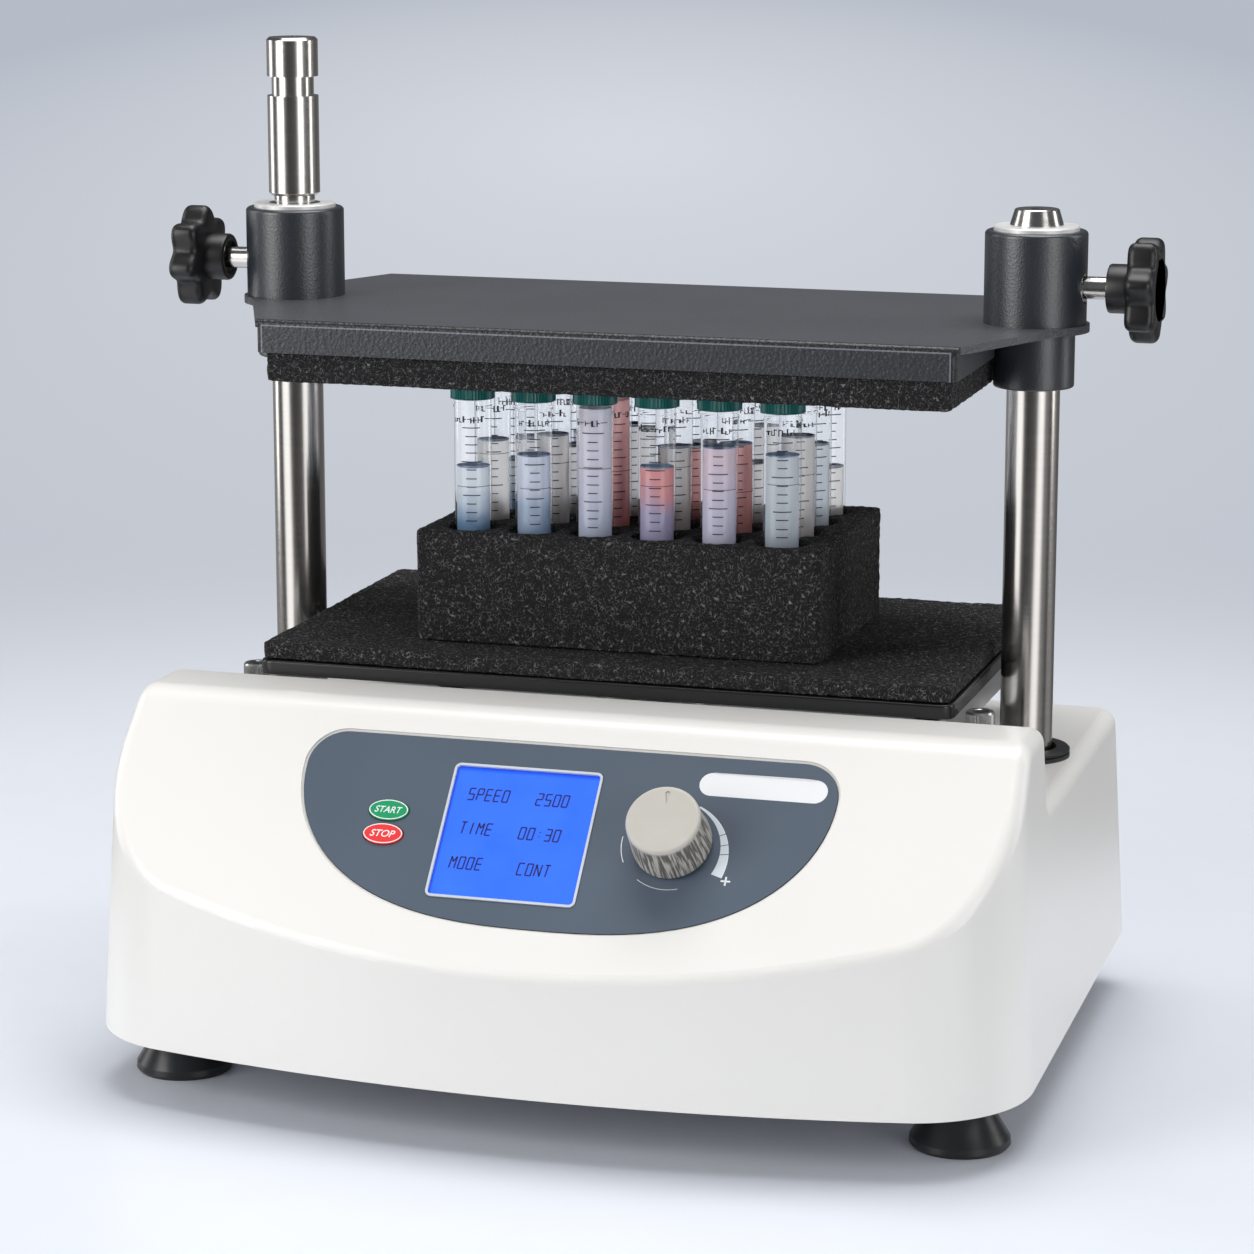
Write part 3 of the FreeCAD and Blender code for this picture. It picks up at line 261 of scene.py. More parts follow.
def bumpFrom(tree, shader, height, distance):
    bump = put(tree, "ShaderNodeBump", Distance=distance, Strength=1.0)
    join(tree, height, bump.inputs["Height"])
    join(tree, bump.outputs[0], shader.inputs["Normal"])


# Materials, one per finish

def plasticFinish(name, light, dark, rough, grainScale=1400.0, depth=0.00003, mottle=14.0, **sockets):
    material, tree, shader = newMaterial(name, rough, **sockets)
    grain = useGroup(tree, "grain", Scale=grainScale)
    grain.inputs["Mottle Scale"].default_value = mottle
    join(tree, blendColour(tree, grain.outputs["Mottle"], dark, light), shader.inputs["Base Color"])
    join(tree, mapValue(tree, grain.outputs["Mottle"], rough * 0.9, rough * 1.12, 0.3, 0.7), shader.inputs["Roughness"])
    bumpFrom(tree, shader, grain.outputs["Grain"], depth)
    return material


def foamFinish(name, settings):
    material, tree, shader = newMaterial(name, 0.85)
    cells = useGroup(tree, "foam", Scale=settings["scale"], Width=settings["width"])
    base = blendColour(tree, cells.outputs["Mottle"], settings["dark"], settings["middle"])
    # painted highlight: the strands are lighter than the black foam, standing in for light caught on them
    join(tree, blendColour(tree, cells.outputs["Strand"], base, settings["strandHighlight"]), shader.inputs["Base Color"])
    join(tree, mapValue(tree, cells.outputs["Strand"], 0.9, 0.42), shader.inputs["Roughness"])
    bumpFrom(tree, shader, cells.outputs["Height"], settings["depth"])
    return material


def hammerFinish(name, settings):
    material, tree, shader = newMaterial(name, settings["rough"], **{"Specular IOR Level": settings["shine"]})
    paint = useGroup(tree, "hammer", Scale=settings["scale"])
    base = blendColour(tree, paint.outputs["Mottle"], settings["dark"], settings["light"])
    join(tree, blendColour(tree, paint.outputs["Fleck"], base, settings["fleck"]), shader.inputs["Base Color"])
    join(tree, mapValue(tree, paint.outputs["Height"], settings["rough"] * 1.15, settings["rough"] * 0.85),
         shader.inputs["Roughness"])
    bumpFrom(tree, shader, paint.outputs["Height"], settings["depth"])
    return material


def metalFinish(name, light, dark, rough, depth=0.000004, along=40.0, across=2500.0, metal=1.0):
    material, tree, shader = newMaterial(name, rough, metal)
    lines = useGroup(tree, "brush", Along=along, Across=across)
    join(tree, blendColour(tree, lines.outputs["Streak"], dark, light), shader.inputs["Base Color"])
    join(tree, mapValue(tree, lines.outputs["Streak"], rough * 0.7, rough * 1.3), shader.inputs["Roughness"])
    bumpFrom(tree, shader, lines.outputs["Streak"], depth)
    return material


def inkFinish(name, colour, rough=0.5):
    return plasticFinish(name, colour, tuple(c * 0.9 for c in colour), rough, depth=0.000005)


def displayFinish(settings):
    material, tree, shader = newMaterial("displayBlue", settings["rough"], **{"Emission Strength": settings["glow"]})
    split = partsOf(tree, turnedPlace(tree, face["origin"], (face["tilt"], 0, 0)))
    # painted shadow of the bezel on the screen, darker along its top and left edges
    top = mapValue(tree, split[1], 0.0, 1.0, settings["shadeFrom"], settings["shadeTo"])
    left = mapValue(tree, split[0], 1.0, 0.0, settings["leftShadeFrom"], settings["leftShadeTo"])
    edge = combine(tree, "MAXIMUM", top, left)
    cells = noiseOf(tree, objectPlace(tree), 60.0)
    glow = blendColour(tree, cells, settings["low"], settings["high"])
    colour = blendColour(tree, edge, glow, settings["shade"])
    join(tree, colour, shader.inputs["Base Color"])
    join(tree, colour, shader.inputs["Emission Color"])
    return material


def tubeWallFinish(settings):
    material, tree, shader = newMaterial("tubeWall", settings["rough"], **{
        "IOR": 1.03, "Transmission Weight": 1.0, "Coat Weight": 1.0, "Coat Roughness": 0.06, "Coat IOR": 1.5})
    rim = put(tree, "ShaderNodeLayerWeight", Blend=settings["rim"])
    haze = noiseOf(tree, objectPlace(tree), 45.0)
    light = blendColour(tree, haze, settings["light"], settings["haze"])
    edge = mapValue(tree, rim.outputs["Facing"], 0.0, 1.0, 0.5, 0.98)
    join(tree, blendColour(tree, edge, light, settings["edge"]), shader.inputs["Base Color"])
    return material


def liquidFinish(name, settings):
    material, tree, shader = newMaterial(name, 0.4, **{
        "Specular IOR Level": 0.3, "Transmission Weight": settings["milk"], "IOR": 1.2})
    place = objectPlace(tree)
    cloud = noiseOf(tree, place, 55.0, 3)
    lift = combine(tree, "ADD", partsOf(tree, place)[2], combine(tree, "MULTIPLY", cloud, 0.03))
    height = mapValue(tree, lift, 0.0, 1.0, settings["from"], settings["to"])
    join(tree, blendColour(tree, height, settings["low"], settings["high"]), shader.inputs["Base Color"])
    return material


def knobFinish(settings):  # grooves run down the knob's side, their dark colour painted shade that darkens the side, and its top is plain
    material, tree, shader = newMaterial("knobGrey", settings["rough"])
    turned = turnedPlace(tree, face["origin"], (face["tilt"], 0, 0))
    flat = put(tree, "ShaderNodeVectorMath", operation="MULTIPLY")
    join(tree, turned, flat.inputs[0])
    flat.inputs[1].default_value = (1, 1, 0.02)
    lines = mapValue(tree, noiseOf(tree, flat.outputs[0], settings["lines"], 2), 1.0, 0.0, 0.44, 0.54)
    side = mapValue(tree, partsOf(tree, turned)[2], 1.0, 0.0, settings["topFrom"], settings["topTo"])
    grooveShade = combine(tree, "MULTIPLY", lines, side)
    base = blendColour(tree, noiseOf(tree, objectPlace(tree), 90.0), settings["low"], settings["high"])
    # painted shade: the dark line colour in the side's grooves darkens the side
    join(tree, blendColour(tree, grooveShade, base, settings["line"]), shader.inputs["Base Color"])
    bumpFrom(tree, shader, combine(tree, "MULTIPLY", grooveShade, -1.0), settings["depth"])
    return material


def platePaintFinish(settings):  # painted shade makes the lip darker and its rolled edges darker still, with a painted highlight line inside them
    material = hammerFinish("platePaint", settings)
    tree = material.node_tree
    shader = tree.nodes["Principled BSDF"]
    split = partsOf(tree, objectPlace(tree))
    across = combine(tree, "SUBTRACT", combine(tree, "ABSOLUTE", split[0], 0.0), settings["lipHalf"])
    above = combine(tree, "SUBTRACT", split[2], settings["lipTop"])
    out = combine(tree, "MAXIMUM", across, above)
    front = mapValue(tree, split[1], 1.0, 0.0, settings["lipFront"], settings["lipFront"] + 0.0003)
    # painted shade along the lip's rolled edges
    paintedShade = combine(tree, "MULTIPLY", mapValue(tree, out, 0.0, 1.0, 0.0001, 0.0004), front)
    near = combine(tree, "ABSOLUTE", combine(tree, "ADD", out, 0.0002), 0.0)
    # painted highlight: a bright line just inside the rolled edges
    paintedHighlight = combine(tree, "MULTIPLY", mapValue(tree, near, 1.0, 0.0, 0.00015, 0.00045), front)
    painted = shader.inputs["Base Color"].links[0].from_socket
    # painted shade darkens the lip's front face
    shaded = blendColour(tree, combine(tree, "MULTIPLY", front, settings["lipShade"]), painted, settings["paintedShade"])
    colour = blendColour(tree, paintedShade, shaded, settings["paintedShade"])
    join(tree, blendColour(tree, paintedHighlight, colour, settings["paintedHighlight"]), shader.inputs["Base Color"])
    return material


foamLook = {"scale": 540.0, "width": 0.075, "dark": (0.0035, 0.0035, 0.004), "middle": (0.006, 0.006, 0.0065),
            "strandHighlight": (0.2, 0.2, 0.21), "depth": 0.0008}
plateLook = {"rough": 0.42, "shine": 0.5, "scale": 560.0, "dark": (0.058, 0.061, 0.07),
             "light": (0.074, 0.077, 0.086), "fleck": (0.11, 0.113, 0.125), "depth": 0.0002, "lipHalf": 0.1583,
             "lipTop": 0.3341, "lipFront": -0.0341, "lipShade": 0.6, "paintedShade": (0.012, 0.013, 0.016),
             "paintedHighlight": (0.2, 0.21, 0.24)}
hubLook = {"rough": 0.4, "shine": 1.0, "scale": 900.0, "dark": (0.014, 0.018, 0.0245),
           "light": (0.019, 0.024, 0.032), "fleck": (0.028, 0.033, 0.042), "depth": 0.00005}
displayLook = {"rough": 0.25, "glow": 0.62, "low": (0.018, 0.095, 0.8), "high": (0.032, 0.13, 0.93),
               "shade": (0.004, 0.04, 0.42), "shadeFrom": 0.0938, "shadeTo": 0.0966, "leftShadeFrom": -0.0447,
               "leftShadeTo": -0.0432}
tubeLook = {"rough": 0.03, "rim": 0.4, "light": (0.95, 0.96, 0.97), "haze": (0.9, 0.92, 0.94),
            "edge": (0.42, 0.47, 0.55)}
knobLook = {"rough": 0.42, "lines": 900.0, "low": (0.46, 0.44, 0.4), "high": (0.52, 0.5, 0.455),
            "line": (0.13, 0.12, 0.105), "topFrom": 0.0188, "topTo": 0.0204, "depth": 0.0003}

finishes = {
    "housing_plastic": plasticFinish("housingPlastic", (0.8, 0.79, 0.765), (0.775, 0.765, 0.74), 0.34, 1600, 0.00002,
                                     6.0, **{"Coat Weight": 0.25, "Coat Roughness": 0.2}),
    "galvanised_sheet": metalFinish("galvanisedSheet", (0.6, 0.61, 0.62), (0.45, 0.46, 0.47), 0.38, 0.00002, 120, 120),
    "fastener_steel": metalFinish("fastenerSteel", (0.66, 0.66, 0.65), (0.5, 0.5, 0.5), 0.28),
    "foot_rubber": plasticFinish("footRubber", (0.014, 0.0145, 0.016), (0.008, 0.0085, 0.01), 0.32, 900, 0.00003),
    "panel_film": plasticFinish("panelFilm", (0.088, 0.115, 0.155), (0.072, 0.096, 0.132), 0.38, 2200, 0.00001, 9.0),
    "bezel_plastic": plasticFinish("bezelPlastic", (0.62, 0.66, 0.7), (0.5, 0.54, 0.58), 0.25),
    "display_glass": displayFinish(displayLook),
    "circuit_board": plasticFinish("circuitBoard", (0.02, 0.14, 0.06), (0.014, 0.1, 0.045), 0.4),
    "dark_plastic": plasticFinish("darkPlastic", (0.02, 0.02, 0.022), (0.013, 0.013, 0.015), 0.4),
    "start_key": plasticFinish("startKey", (0.012, 0.33, 0.13), (0.01, 0.28, 0.11), 0.3),
    "stop_key": plasticFinish("stopKey", (0.82, 0.045, 0.045), (0.74, 0.035, 0.035), 0.3),
    "motor_paint": plasticFinish("motorPaint", (0.03, 0.03, 0.034), (0.02, 0.02, 0.024), 0.35),
    "machined_aluminium": metalFinish("machinedAluminium", (0.72, 0.73, 0.74), (0.56, 0.57, 0.59), 0.33, 0.00001),
    "weight_brass": metalFinish("weightBrass", (0.62, 0.46, 0.2), (0.5, 0.36, 0.14), 0.3),
    "polished_steel": metalFinish("polishedSteel", (0.64, 0.62, 0.595), (0.54, 0.52, 0.5), 0.2, 0.000006),
    "collar_rubber": plasticFinish("collarRubber", (0.02, 0.0205, 0.022), (0.011, 0.0115, 0.013), 0.5, 800, 0.00006),
    "tray_paint": plasticFinish("trayPaint", (0.012, 0.012, 0.013), (0.007, 0.007, 0.008), 0.22),
    "foam": foamFinish("blackFoam", foamLook),
    "tube_plastic": tubeWallFinish(tubeLook),
    "cap_plastic": plasticFinish("capPlastic", (0.001, 0.165, 0.15), (0.0008, 0.12, 0.11), 0.3, 1000, 0.00002),
    "plate_paint": platePaintFinish(plateLook),
    "knob_plastic": knobFinish(knobLook),
    "knob_black": plasticFinish("knobBlack", (0.008, 0.008, 0.009), (0.005, 0.005, 0.006), 0.36, 2200, 0.00003),
}


hubPaint = hammerFinish("hubPaint", hubLook)
satinRing = metalFinish("satinRing", (0.82, 0.82, 0.815), (0.7, 0.7, 0.695), 0.45, metal=0.45)
whiteInk = inkFinish("whiteInk", (0.82, 0.84, 0.86))
scaleInk = inkFinish("scaleInk", (0.68, 0.74, 0.8))
navyInk = inkFinish("navyInk", (0.004, 0.008, 0.045))
blackInk = inkFinish("blackInk", (0.01, 0.01, 0.012))
pillWhite = plasticFinish("pillWhite", (0.8, 0.81, 0.83), (0.75, 0.76, 0.78), 0.35)
print("materials made:", len(bpy.data.materials))


def dressNodes():
    for entry in frame["record"]["subparts"]:
        mesh = cadNodes[entry["node"]].data
        mesh.materials.clear()
        mesh.materials.append(finishes[entry["material_slot"]])
    for name in ("left_hub", "right_hub"):
        cadNodes[name].data.materials[0] = hubPaint
    cadNodes["hub_bushes"].data.materials[0] = satinRing


dressNodes()


# Helpers for new pieces

def addPiece(bm, name, material, body, smooth=True):
    mesh = bpy.data.meshes.new(name)
    bm.to_mesh(mesh)
    bm.free()
    return addMesh(mesh, name, material, body, smooth)


def addMesh(mesh, name, material, body, smooth=True):
    mesh.materials.clear()
    mesh.materials.append(material)
    mesh.shade_smooth() if smooth else mesh.shade_flat()
    piece = bpy.data.objects.new(name, mesh)
    bpy.context.scene.collection.objects.link(piece)
    if smooth:
        mesh.set_sharp_from_angle(angle=math.radians(38))
    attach(piece, body)
    return piece


def tubeCentres():
    for row in range(tubeRows["rows"]):
        for column in range(tubeRows["columns"]):
            x = tubeRows["centre"][0] + (column - (tubeRows["columns"] - 1) / 2) * tubeRows["columnPitch"]
            y = tubeRows["centre"][1] + (row - (tubeRows["rows"] - 1) / 2) * tubeRows["rowPitch"]
            yield row, column, Vector((x, y, 0))


def spinProfile(bm, profile, centre, steps):
    verts = [bm.verts.new(centre + Vector((radius, 0, height))) for radius, height in profile]
    edges = [bm.edges.new(pair) for pair in zip(verts, verts[1:])]
    bmesh.ops.spin(bm, geom=verts + edges, cent=centre, axis=(0, 0, 1), angle=math.tau, steps=steps,
                   use_merge=True, use_duplicate=False)


def ridgedRing(bm, centre, radius, ridges, low, high, bite):
    outline = bmesh.ops.create_circle(bm, cap_ends=False, segments=ridges * 2, radius=radius,
                                      matrix=Matrix.Translation(centre + Vector((0, 0, low))))
    for vert in outline["verts"][1::2]:
        vert.co -= (vert.co - centre - Vector((0, 0, vert.co.z))) * bite
    raised = bmesh.ops.extrude_edge_only(bm, edges=[edge for edge in bm.edges if edge.is_wire])
    for item in raised["geom"]:
        if isinstance(item, bmesh.types.BMVert):
            item.co.z = high


def closeUp(bm):
    bmesh.ops.remove_doubles(bm, verts=bm.verts, dist=0.00001)
    bmesh.ops.recalc_face_normals(bm, faces=bm.faces)


# Foam mat, rack and clamp pad: the solid's own form with torn, open-cell skin

foamPieces = {"voxel": 1.6 * mm, "ragged": 0.45 * mm, "raggedScale": 420, "wave": 0.35 * mm, "waveScale": 35,
              "sink": 0.35 * mm}


def foamFrom(nodeName, pieceName, body):
    source = bmesh.new()
    source.from_mesh(cadNodes[nodeName].data)
    bmesh.ops.remove_doubles(source, verts=source.verts, dist=0.00001)
    mesh = bpy.data.meshes.new(pieceName)
    source.to_mesh(mesh)
    source.free()
    blank = bpy.data.objects.new(pieceName + "Blank", mesh)
    bpy.context.scene.collection.objects.link(blank)
    remesh = blank.modifiers.new("cells", "REMESH")
    remesh.mode = "VOXEL"
    remesh.voxel_size = foamPieces["voxel"]
    bpy.context.view_layer.update()
    shaped = bpy.data.meshes.new_from_object(blank.evaluated_get(bpy.context.evaluated_depsgraph_get()))
    bpy.data.objects.remove(blank)
    low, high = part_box(nodeName)
    bm = bmesh.new()
    bm.from_mesh(shaped)
    bm.normal_update()
    moves = []
    for vert in bm.verts:
        rag = noise.noise(vert.co * foamPieces["raggedScale"]) * foamPieces["ragged"]
        wave = noise.noise(vert.co * foamPieces["waveScale"]) * foamPieces["wave"]
        spot = vert.co + vert.normal * (rag + wave - foamPieces["sink"])
        moves.append(Vector([min(max(spot[i], low[i]), high[i]) for i in range(3)]))
    for vert, spot in zip(bm.verts, moves):
        vert.co = spot
    piece = addPiece(bm, pieceName, finishes["foam"], body)
    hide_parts(nodeName)


foamFrom("base_mat", "foamMat", "platform")
foamFrom("tube_rack", "foamRack", "platform")
foamFrom("upper_foam_pad", "foamPad", "clamp")
print("foam made")


# Sample tubes with their contents, printed scales and caps

tube = {"bottom": 188.3 * mm, "coneTop": 210.3 * mm, "radius": 8.5 * mm, "tip": 2.2 * mm, "neck": 301.6 * mm,
        "capLow": 298.8 * mm, "capTop": 307.25 * mm, "capRadius": 10.15 * mm, "inner": 7.35 * mm, "ribs": 44,
        "steps": 40, "printRadius": 8.56 * mm, "dish": 0.7 * mm, "hidden": 290,
        "bead": ((0, 4.2), (0.35, 3.9), (0.35, 3.2), (0, 2.9))}  # out from the wall and down from the cap, in mm
liquids = {  # colours low and high in the tube, and where one turns into the other
    "iceBlue": {"low": (0.2, 0.34, 0.52), "high": (0.84, 0.88, 0.92), "from": 0.256, "to": 0.272, "milk": 0.5},
    "paleBlue": {"low": (0.27, 0.4, 0.58), "high": (0.76, 0.8, 0.9), "from": 0.252, "to": 0.275, "milk": 0.5},
    "lilac": {"low": (0.66, 0.7, 0.84), "high": (0.84, 0.82, 0.9), "from": 0.25, "to": 0.3, "milk": 0.5},
    "rose": {"low": (0.52, 0.48, 0.66), "high": (0.9, 0.42, 0.42), "from": 0.264, "to": 0.276, "milk": 0.5},
    "mauve": {"low": (0.74, 0.72, 0.86), "high": (0.86, 0.72, 0.78), "from": 0.262, "to": 0.298, "milk": 0.5},
    "cream": {"low": (0.93, 0.87, 0.83), "high": (0.98, 0.94, 0.9), "from": 0.24, "to": 0.268, "milk": 0.8},
    "coral": {"low": (0.9, 0.4, 0.38), "high": (0.95, 0.5, 0.47), "from": 0.24, "to": 0.28, "milk": 0.7},
    "clear": {"low": (0.7, 0.77, 0.83), "high": (0.84, 0.88, 0.91), "from": 0.24, "to": 0.29, "milk": 0.7},
}
rackPlan = [  # one row of the rack after another from the front: contents and level in mm
    [("iceBlue", 267.7), ("paleBlue", 274.2), ("lilac", 297.0), ("rose", 271.5), ("mauve", 282.0), ("clear", 279.6)],
    [("cream", 275.6), ("cream", 279.3), ("coral", 297.0), ("cream", 276.4), ("coral", 279.1), ("cream", 284.0)],
    [("iceBlue", 262.0), ("cream", 270.0), ("cream", 281.0), ("coral", 272.0), ("cream", 266.0), ("clear", 276.0)],
    [("cream", 268.0), ("paleBlue", 272.0), ("cream", 275.0), ("mauve", 270.0), ("cream", 279.0), ("cream", 261.0)],
]
# painted shade: liquid surfaces and a thin band on the wall at each level are dark blue, standing in for the dark
# meniscus line
meniscusShade = inkFinish("meniscusShade", (0.16, 0.24, 0.38), 0.2)


def makeTubes():
    walls = bmesh.new()
    contents = {name: bmesh.new() for name in liquids}
    surfaces = bmesh.new()
    for row, column, centre in tubeCentres():
        bead = [(tube["radius"] + out * mm, tube["capLow"] - down * mm) for out, down in tube["bead"]]
        spinProfile(walls, [(0, tube["bottom"]), (tube["tip"], tube["bottom"] + 0.2 * mm),
                            (tube["radius"], tube["coneTop"]), *bead, (tube["radius"], tube["neck"]),
                            (0, tube["neck"])], centre, tube["steps"])
        name, level = rackPlan[row][column]
        height = level * mm
        dish = tube["dish"]
        spinProfile(contents[name], [(0, tube["bottom"] + 1.5 * mm), (1.3 * mm, tube["bottom"] + 1.6 * mm),
                                     (tube["inner"], tube["coneTop"] + 0.5 * mm), (tube["inner"], height),
                                     (tube["inner"] * 0.8, height - dish), (0, height - dish)], centre, 32)
        # painted shade: a dark meniscus line at each visible liquid level
        if level < tube["hidden"]:
            edge = tube["inner"] + 0.05 * mm
            spinProfile(surfaces, [(0, height - dish + 0.05 * mm), (tube["inner"] * 0.8, height - dish + 0.05 * mm),
                                   (edge, height + 0.1 * mm), (edge, height - 0.35 * mm)], centre, 32)
    closeUp(walls)
    wallPiece = addPiece(walls, "tubeWalls", finishes["tube_plastic"], "platform")
    for name, bm in contents.items():
        closeUp(bm)
        addPiece(bm, "contents" + name[0].upper() + name[1:], liquidFinish(name, liquids[name]), "platform")
    closeUp(surfaces)
    addPiece(surfaces, "liquidSurfaces", meniscusShade, "platform")
    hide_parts("sample_tubes")


def curvedBar(bm, centre, angle, halfAngle, low, high):
    start = Matrix.Rotation(angle - halfAngle - math.pi / 2, 3, "Z")
    spot = start @ Vector((tube["printRadius"], 0, 0))
    verts = [bm.verts.new(centre + spot + Vector((0, 0, z))) for z in (low, high)]
    edge = bm.edges.new(verts)
    bmesh.ops.spin(bm, geom=verts + [edge], cent=centre, axis=(0, 0, 1), angle=halfAngle * 2,
                   steps=max(2, int(halfAngle * 12)), use_duplicate=False)


scalePrint = {"from": 243.0 * mm, "step": 3.9 * mm, "count": 12, "thick": 0.46 * mm, "short": 0.3, "long": 0.56,
              "ring": 260.0 * mm, "note": 289.0 * mm, "pen": 0.45 * mm}


def makeTubePrint():
    rng = random.Random(7)
    bm = bmesh.new()
    for row, _, centre in tubeCentres():
        turn = math.radians(rng.uniform(8, 24)) + (0.15 if row else 0)
        for mark in range(scalePrint["count"]):
            low = scalePrint["from"] + mark * scalePrint["step"] + rng.uniform(-0.15, 0.15) * mm
            wide = scalePrint["long"] if mark % 4 == 3 else scalePrint["short"]
            curvedBar(bm, centre, turn, wide * rng.uniform(0.85, 1.1), low, low + scalePrint["thick"])
        if row < 2:
            ring = scalePrint["ring"] + rng.uniform(-3, 12) * mm
            curvedBar(bm, centre, turn + 0.1, 1.0, ring, ring + 0.25 * mm)
        note = scalePrint["note"] + rng.uniform(-1, 1) * mm  # a short handwritten note under the cap
        angle = turn - rng.uniform(0.8, 1.15)
        while angle < turn + 0.8:
            tall = rng.uniform(1.6, 3.4) * mm
            drop = rng.uniform(0, 0.5) * mm
            if rng.random() < 0.72:
                curvedBar(bm, centre, angle, rng.choice((0.03, 0.04, 0.06)), note - drop, note - drop + tall)
                foot = note - drop + rng.choice((0, 0.5, 0.95)) * (tall - scalePrint["pen"])
                curvedBar(bm, centre, angle + 0.06, 0.09, foot, foot + scalePrint["pen"])
            else:
                curvedBar(bm, centre, angle + 0.05, 0.1, note + 1.2 * mm, note + 1.55 * mm)
            angle += rng.uniform(0.15, 0.27)
    addPiece(bm, "tubePrint", blackInk, "platform", smooth=False)


def makeCaps():
    bm = bmesh.new()
    radius, low, top, bore = tube["capRadius"], tube["capLow"], tube["capTop"], tube["radius"] + 0.05 * mm
    for _, _, centre in tubeCentres():
        ridgedRing(bm, centre, radius, tube["ribs"], low + 0.5 * mm, top - 0.9 * mm, 0.045)
        spinProfile(bm, [(radius, top - 0.9 * mm), (radius - 0.25 * mm, top - 0.2 * mm), (radius - 0.9 * mm, top),
                         (0, top)], centre, 44)
        spinProfile(bm, [(radius + 0.05 * mm, low + 0.5 * mm), (radius + 0.05 * mm, low + 0.1 * mm),
                         (radius - 0.2 * mm, low), (bore, low), (bore, low + 2.5 * mm)], centre, 44)
    bmesh.ops.recalc_face_normals(bm, faces=bm.faces)
    caps = addPiece(bm, "ribbedCaps", finishes["cap_plastic"], "platform")
    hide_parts("tube_caps")


makeTubes()
makeTubePrint()
makeCaps()
print("tubes made")


# Panel graphics

graphics = {"panelTop": -0.4 * mm, "ink": 0.04 * mm, "knob": (58.8, 66.3), "keyTop": 0.5 * mm}


def flatPiece(bm, name, material, body, lift):
    bmesh.ops.transform(bm, matrix=faceMatrix @ Matrix.Translation((0, 0, lift)), verts=bm.verts)
    return addPiece(bm, name, material, body, smooth=False)


def barOn(bm, start, end, width):
    a = Vector((*start, 0)) * mm
    b = Vector((*end, 0)) * mm
    along = b - a
    turn = Matrix.Rotation(math.atan2(along.y, along.x), 4, "Z")
    shape = Matrix.Translation((a + b) / 2) @ turn @ Matrix.Diagonal((along.length, width * mm, 1, 1))
    bmesh.ops.create_grid(bm, x_segments=1, y_segments=1, size=0.5, matrix=shape)


def arcOn(bm, centre, radius, start, end, width, endWidth=None, steps=28):
    middle = Vector((*centre, 0)) * mm
    first = Matrix.Rotation(math.radians(start), 3, "Z")
    inner = bm.verts.new(middle + first @ Vector(((radius - width) * mm, 0, 0)))
    outer = bm.verts.new(middle + first @ Vector((radius * mm, 0, 0)))
    edge = bm.edges.new((inner, outer))
    known = set(bm.verts)
    bmesh.ops.spin(bm, geom=[inner, outer, edge], cent=middle, axis=(0, 0, 1), angle=math.radians(end - start),
                   steps=steps, use_duplicate=False)
    if endWidth is None:
        return
    for vert in [v for v in bm.verts if v not in known]:
        reach = vert.co - middle
        if reach.length < (radius - width / 2) * mm:
            turned = math.degrees(math.atan2(reach.y, reach.x)) - start
            share = min(max(turned / (end - start), 0), 1)
            vert.co = middle + reach.normalized() * (radius - width - (endWidth - width) * share) * mm


scaleArc = {"centre": (57.0, 60.0), "radius": 26.8, "from": 68, "to": -17.5, "thin": 0.5, "thick": 4.8,
            "breaks": (28.5, 17, 7), "breakReach": (22.5, 27.2), "plus": (84.9, 50.6), "plusSize": 4.2,
            "plusWidth": 0.8, "outer": (27.1, 0.3)}
knobRingHighlights = ((22.8, 176, 208, 0.35), (22.1, 236, 286, 0.25))  # painted highlights where a ring edge round the knob catches light, thin arcs left of the knob: reach, from, to, width


def makeScaleArc():
    bm = bmesh.new()
    arcOn(bm, scaleArc["centre"], scaleArc["radius"], scaleArc["from"], scaleArc["to"], scaleArc["thin"],
          scaleArc["thick"], 40)
    flatPiece(bm, "scaleArc", scaleInk, "base", graphics["panelTop"] + graphics["ink"])
    bm = bmesh.new()
    u, s = scaleArc["centre"]
    for angle in scaleArc["breaks"]:
        a = math.radians(angle)
        start, end = ((u + reach * math.cos(a), s + reach * math.sin(a)) for reach in scaleArc["breakReach"])
        barOn(bm, start, end, 0.35)
    flatPiece(bm, "scaleBreaks", finishes["panel_film"], "base",
              graphics["panelTop"] + 2 * graphics["ink"])
    bm = bmesh.new()
    # painted highlights of a ring edge round the knob
    for reach, start, end, width in knobRingHighlights:
        arcOn(bm, graphics["knob"], reach, start, end, width)
    reach, width = scaleArc["outer"]
    arcOn(bm, scaleArc["centre"], reach, scaleArc["from"], scaleArc["to"], width)
    x, y = scaleArc["plus"]
    half = scaleArc["plusSize"] / 2
    barOn(bm, (x - half, y), (x + half, y), scaleArc["plusWidth"])
    barOn(bm, (x, y - half), (x, y + half), scaleArc["plusWidth"])
    flatPiece(bm, "scaleLines", whiteInk, "base", graphics["panelTop"] + graphics["ink"])


pill = {"centre": (93.1, 96.1), "size": (56.5, 11.1), "thick": 0.35 * mm}


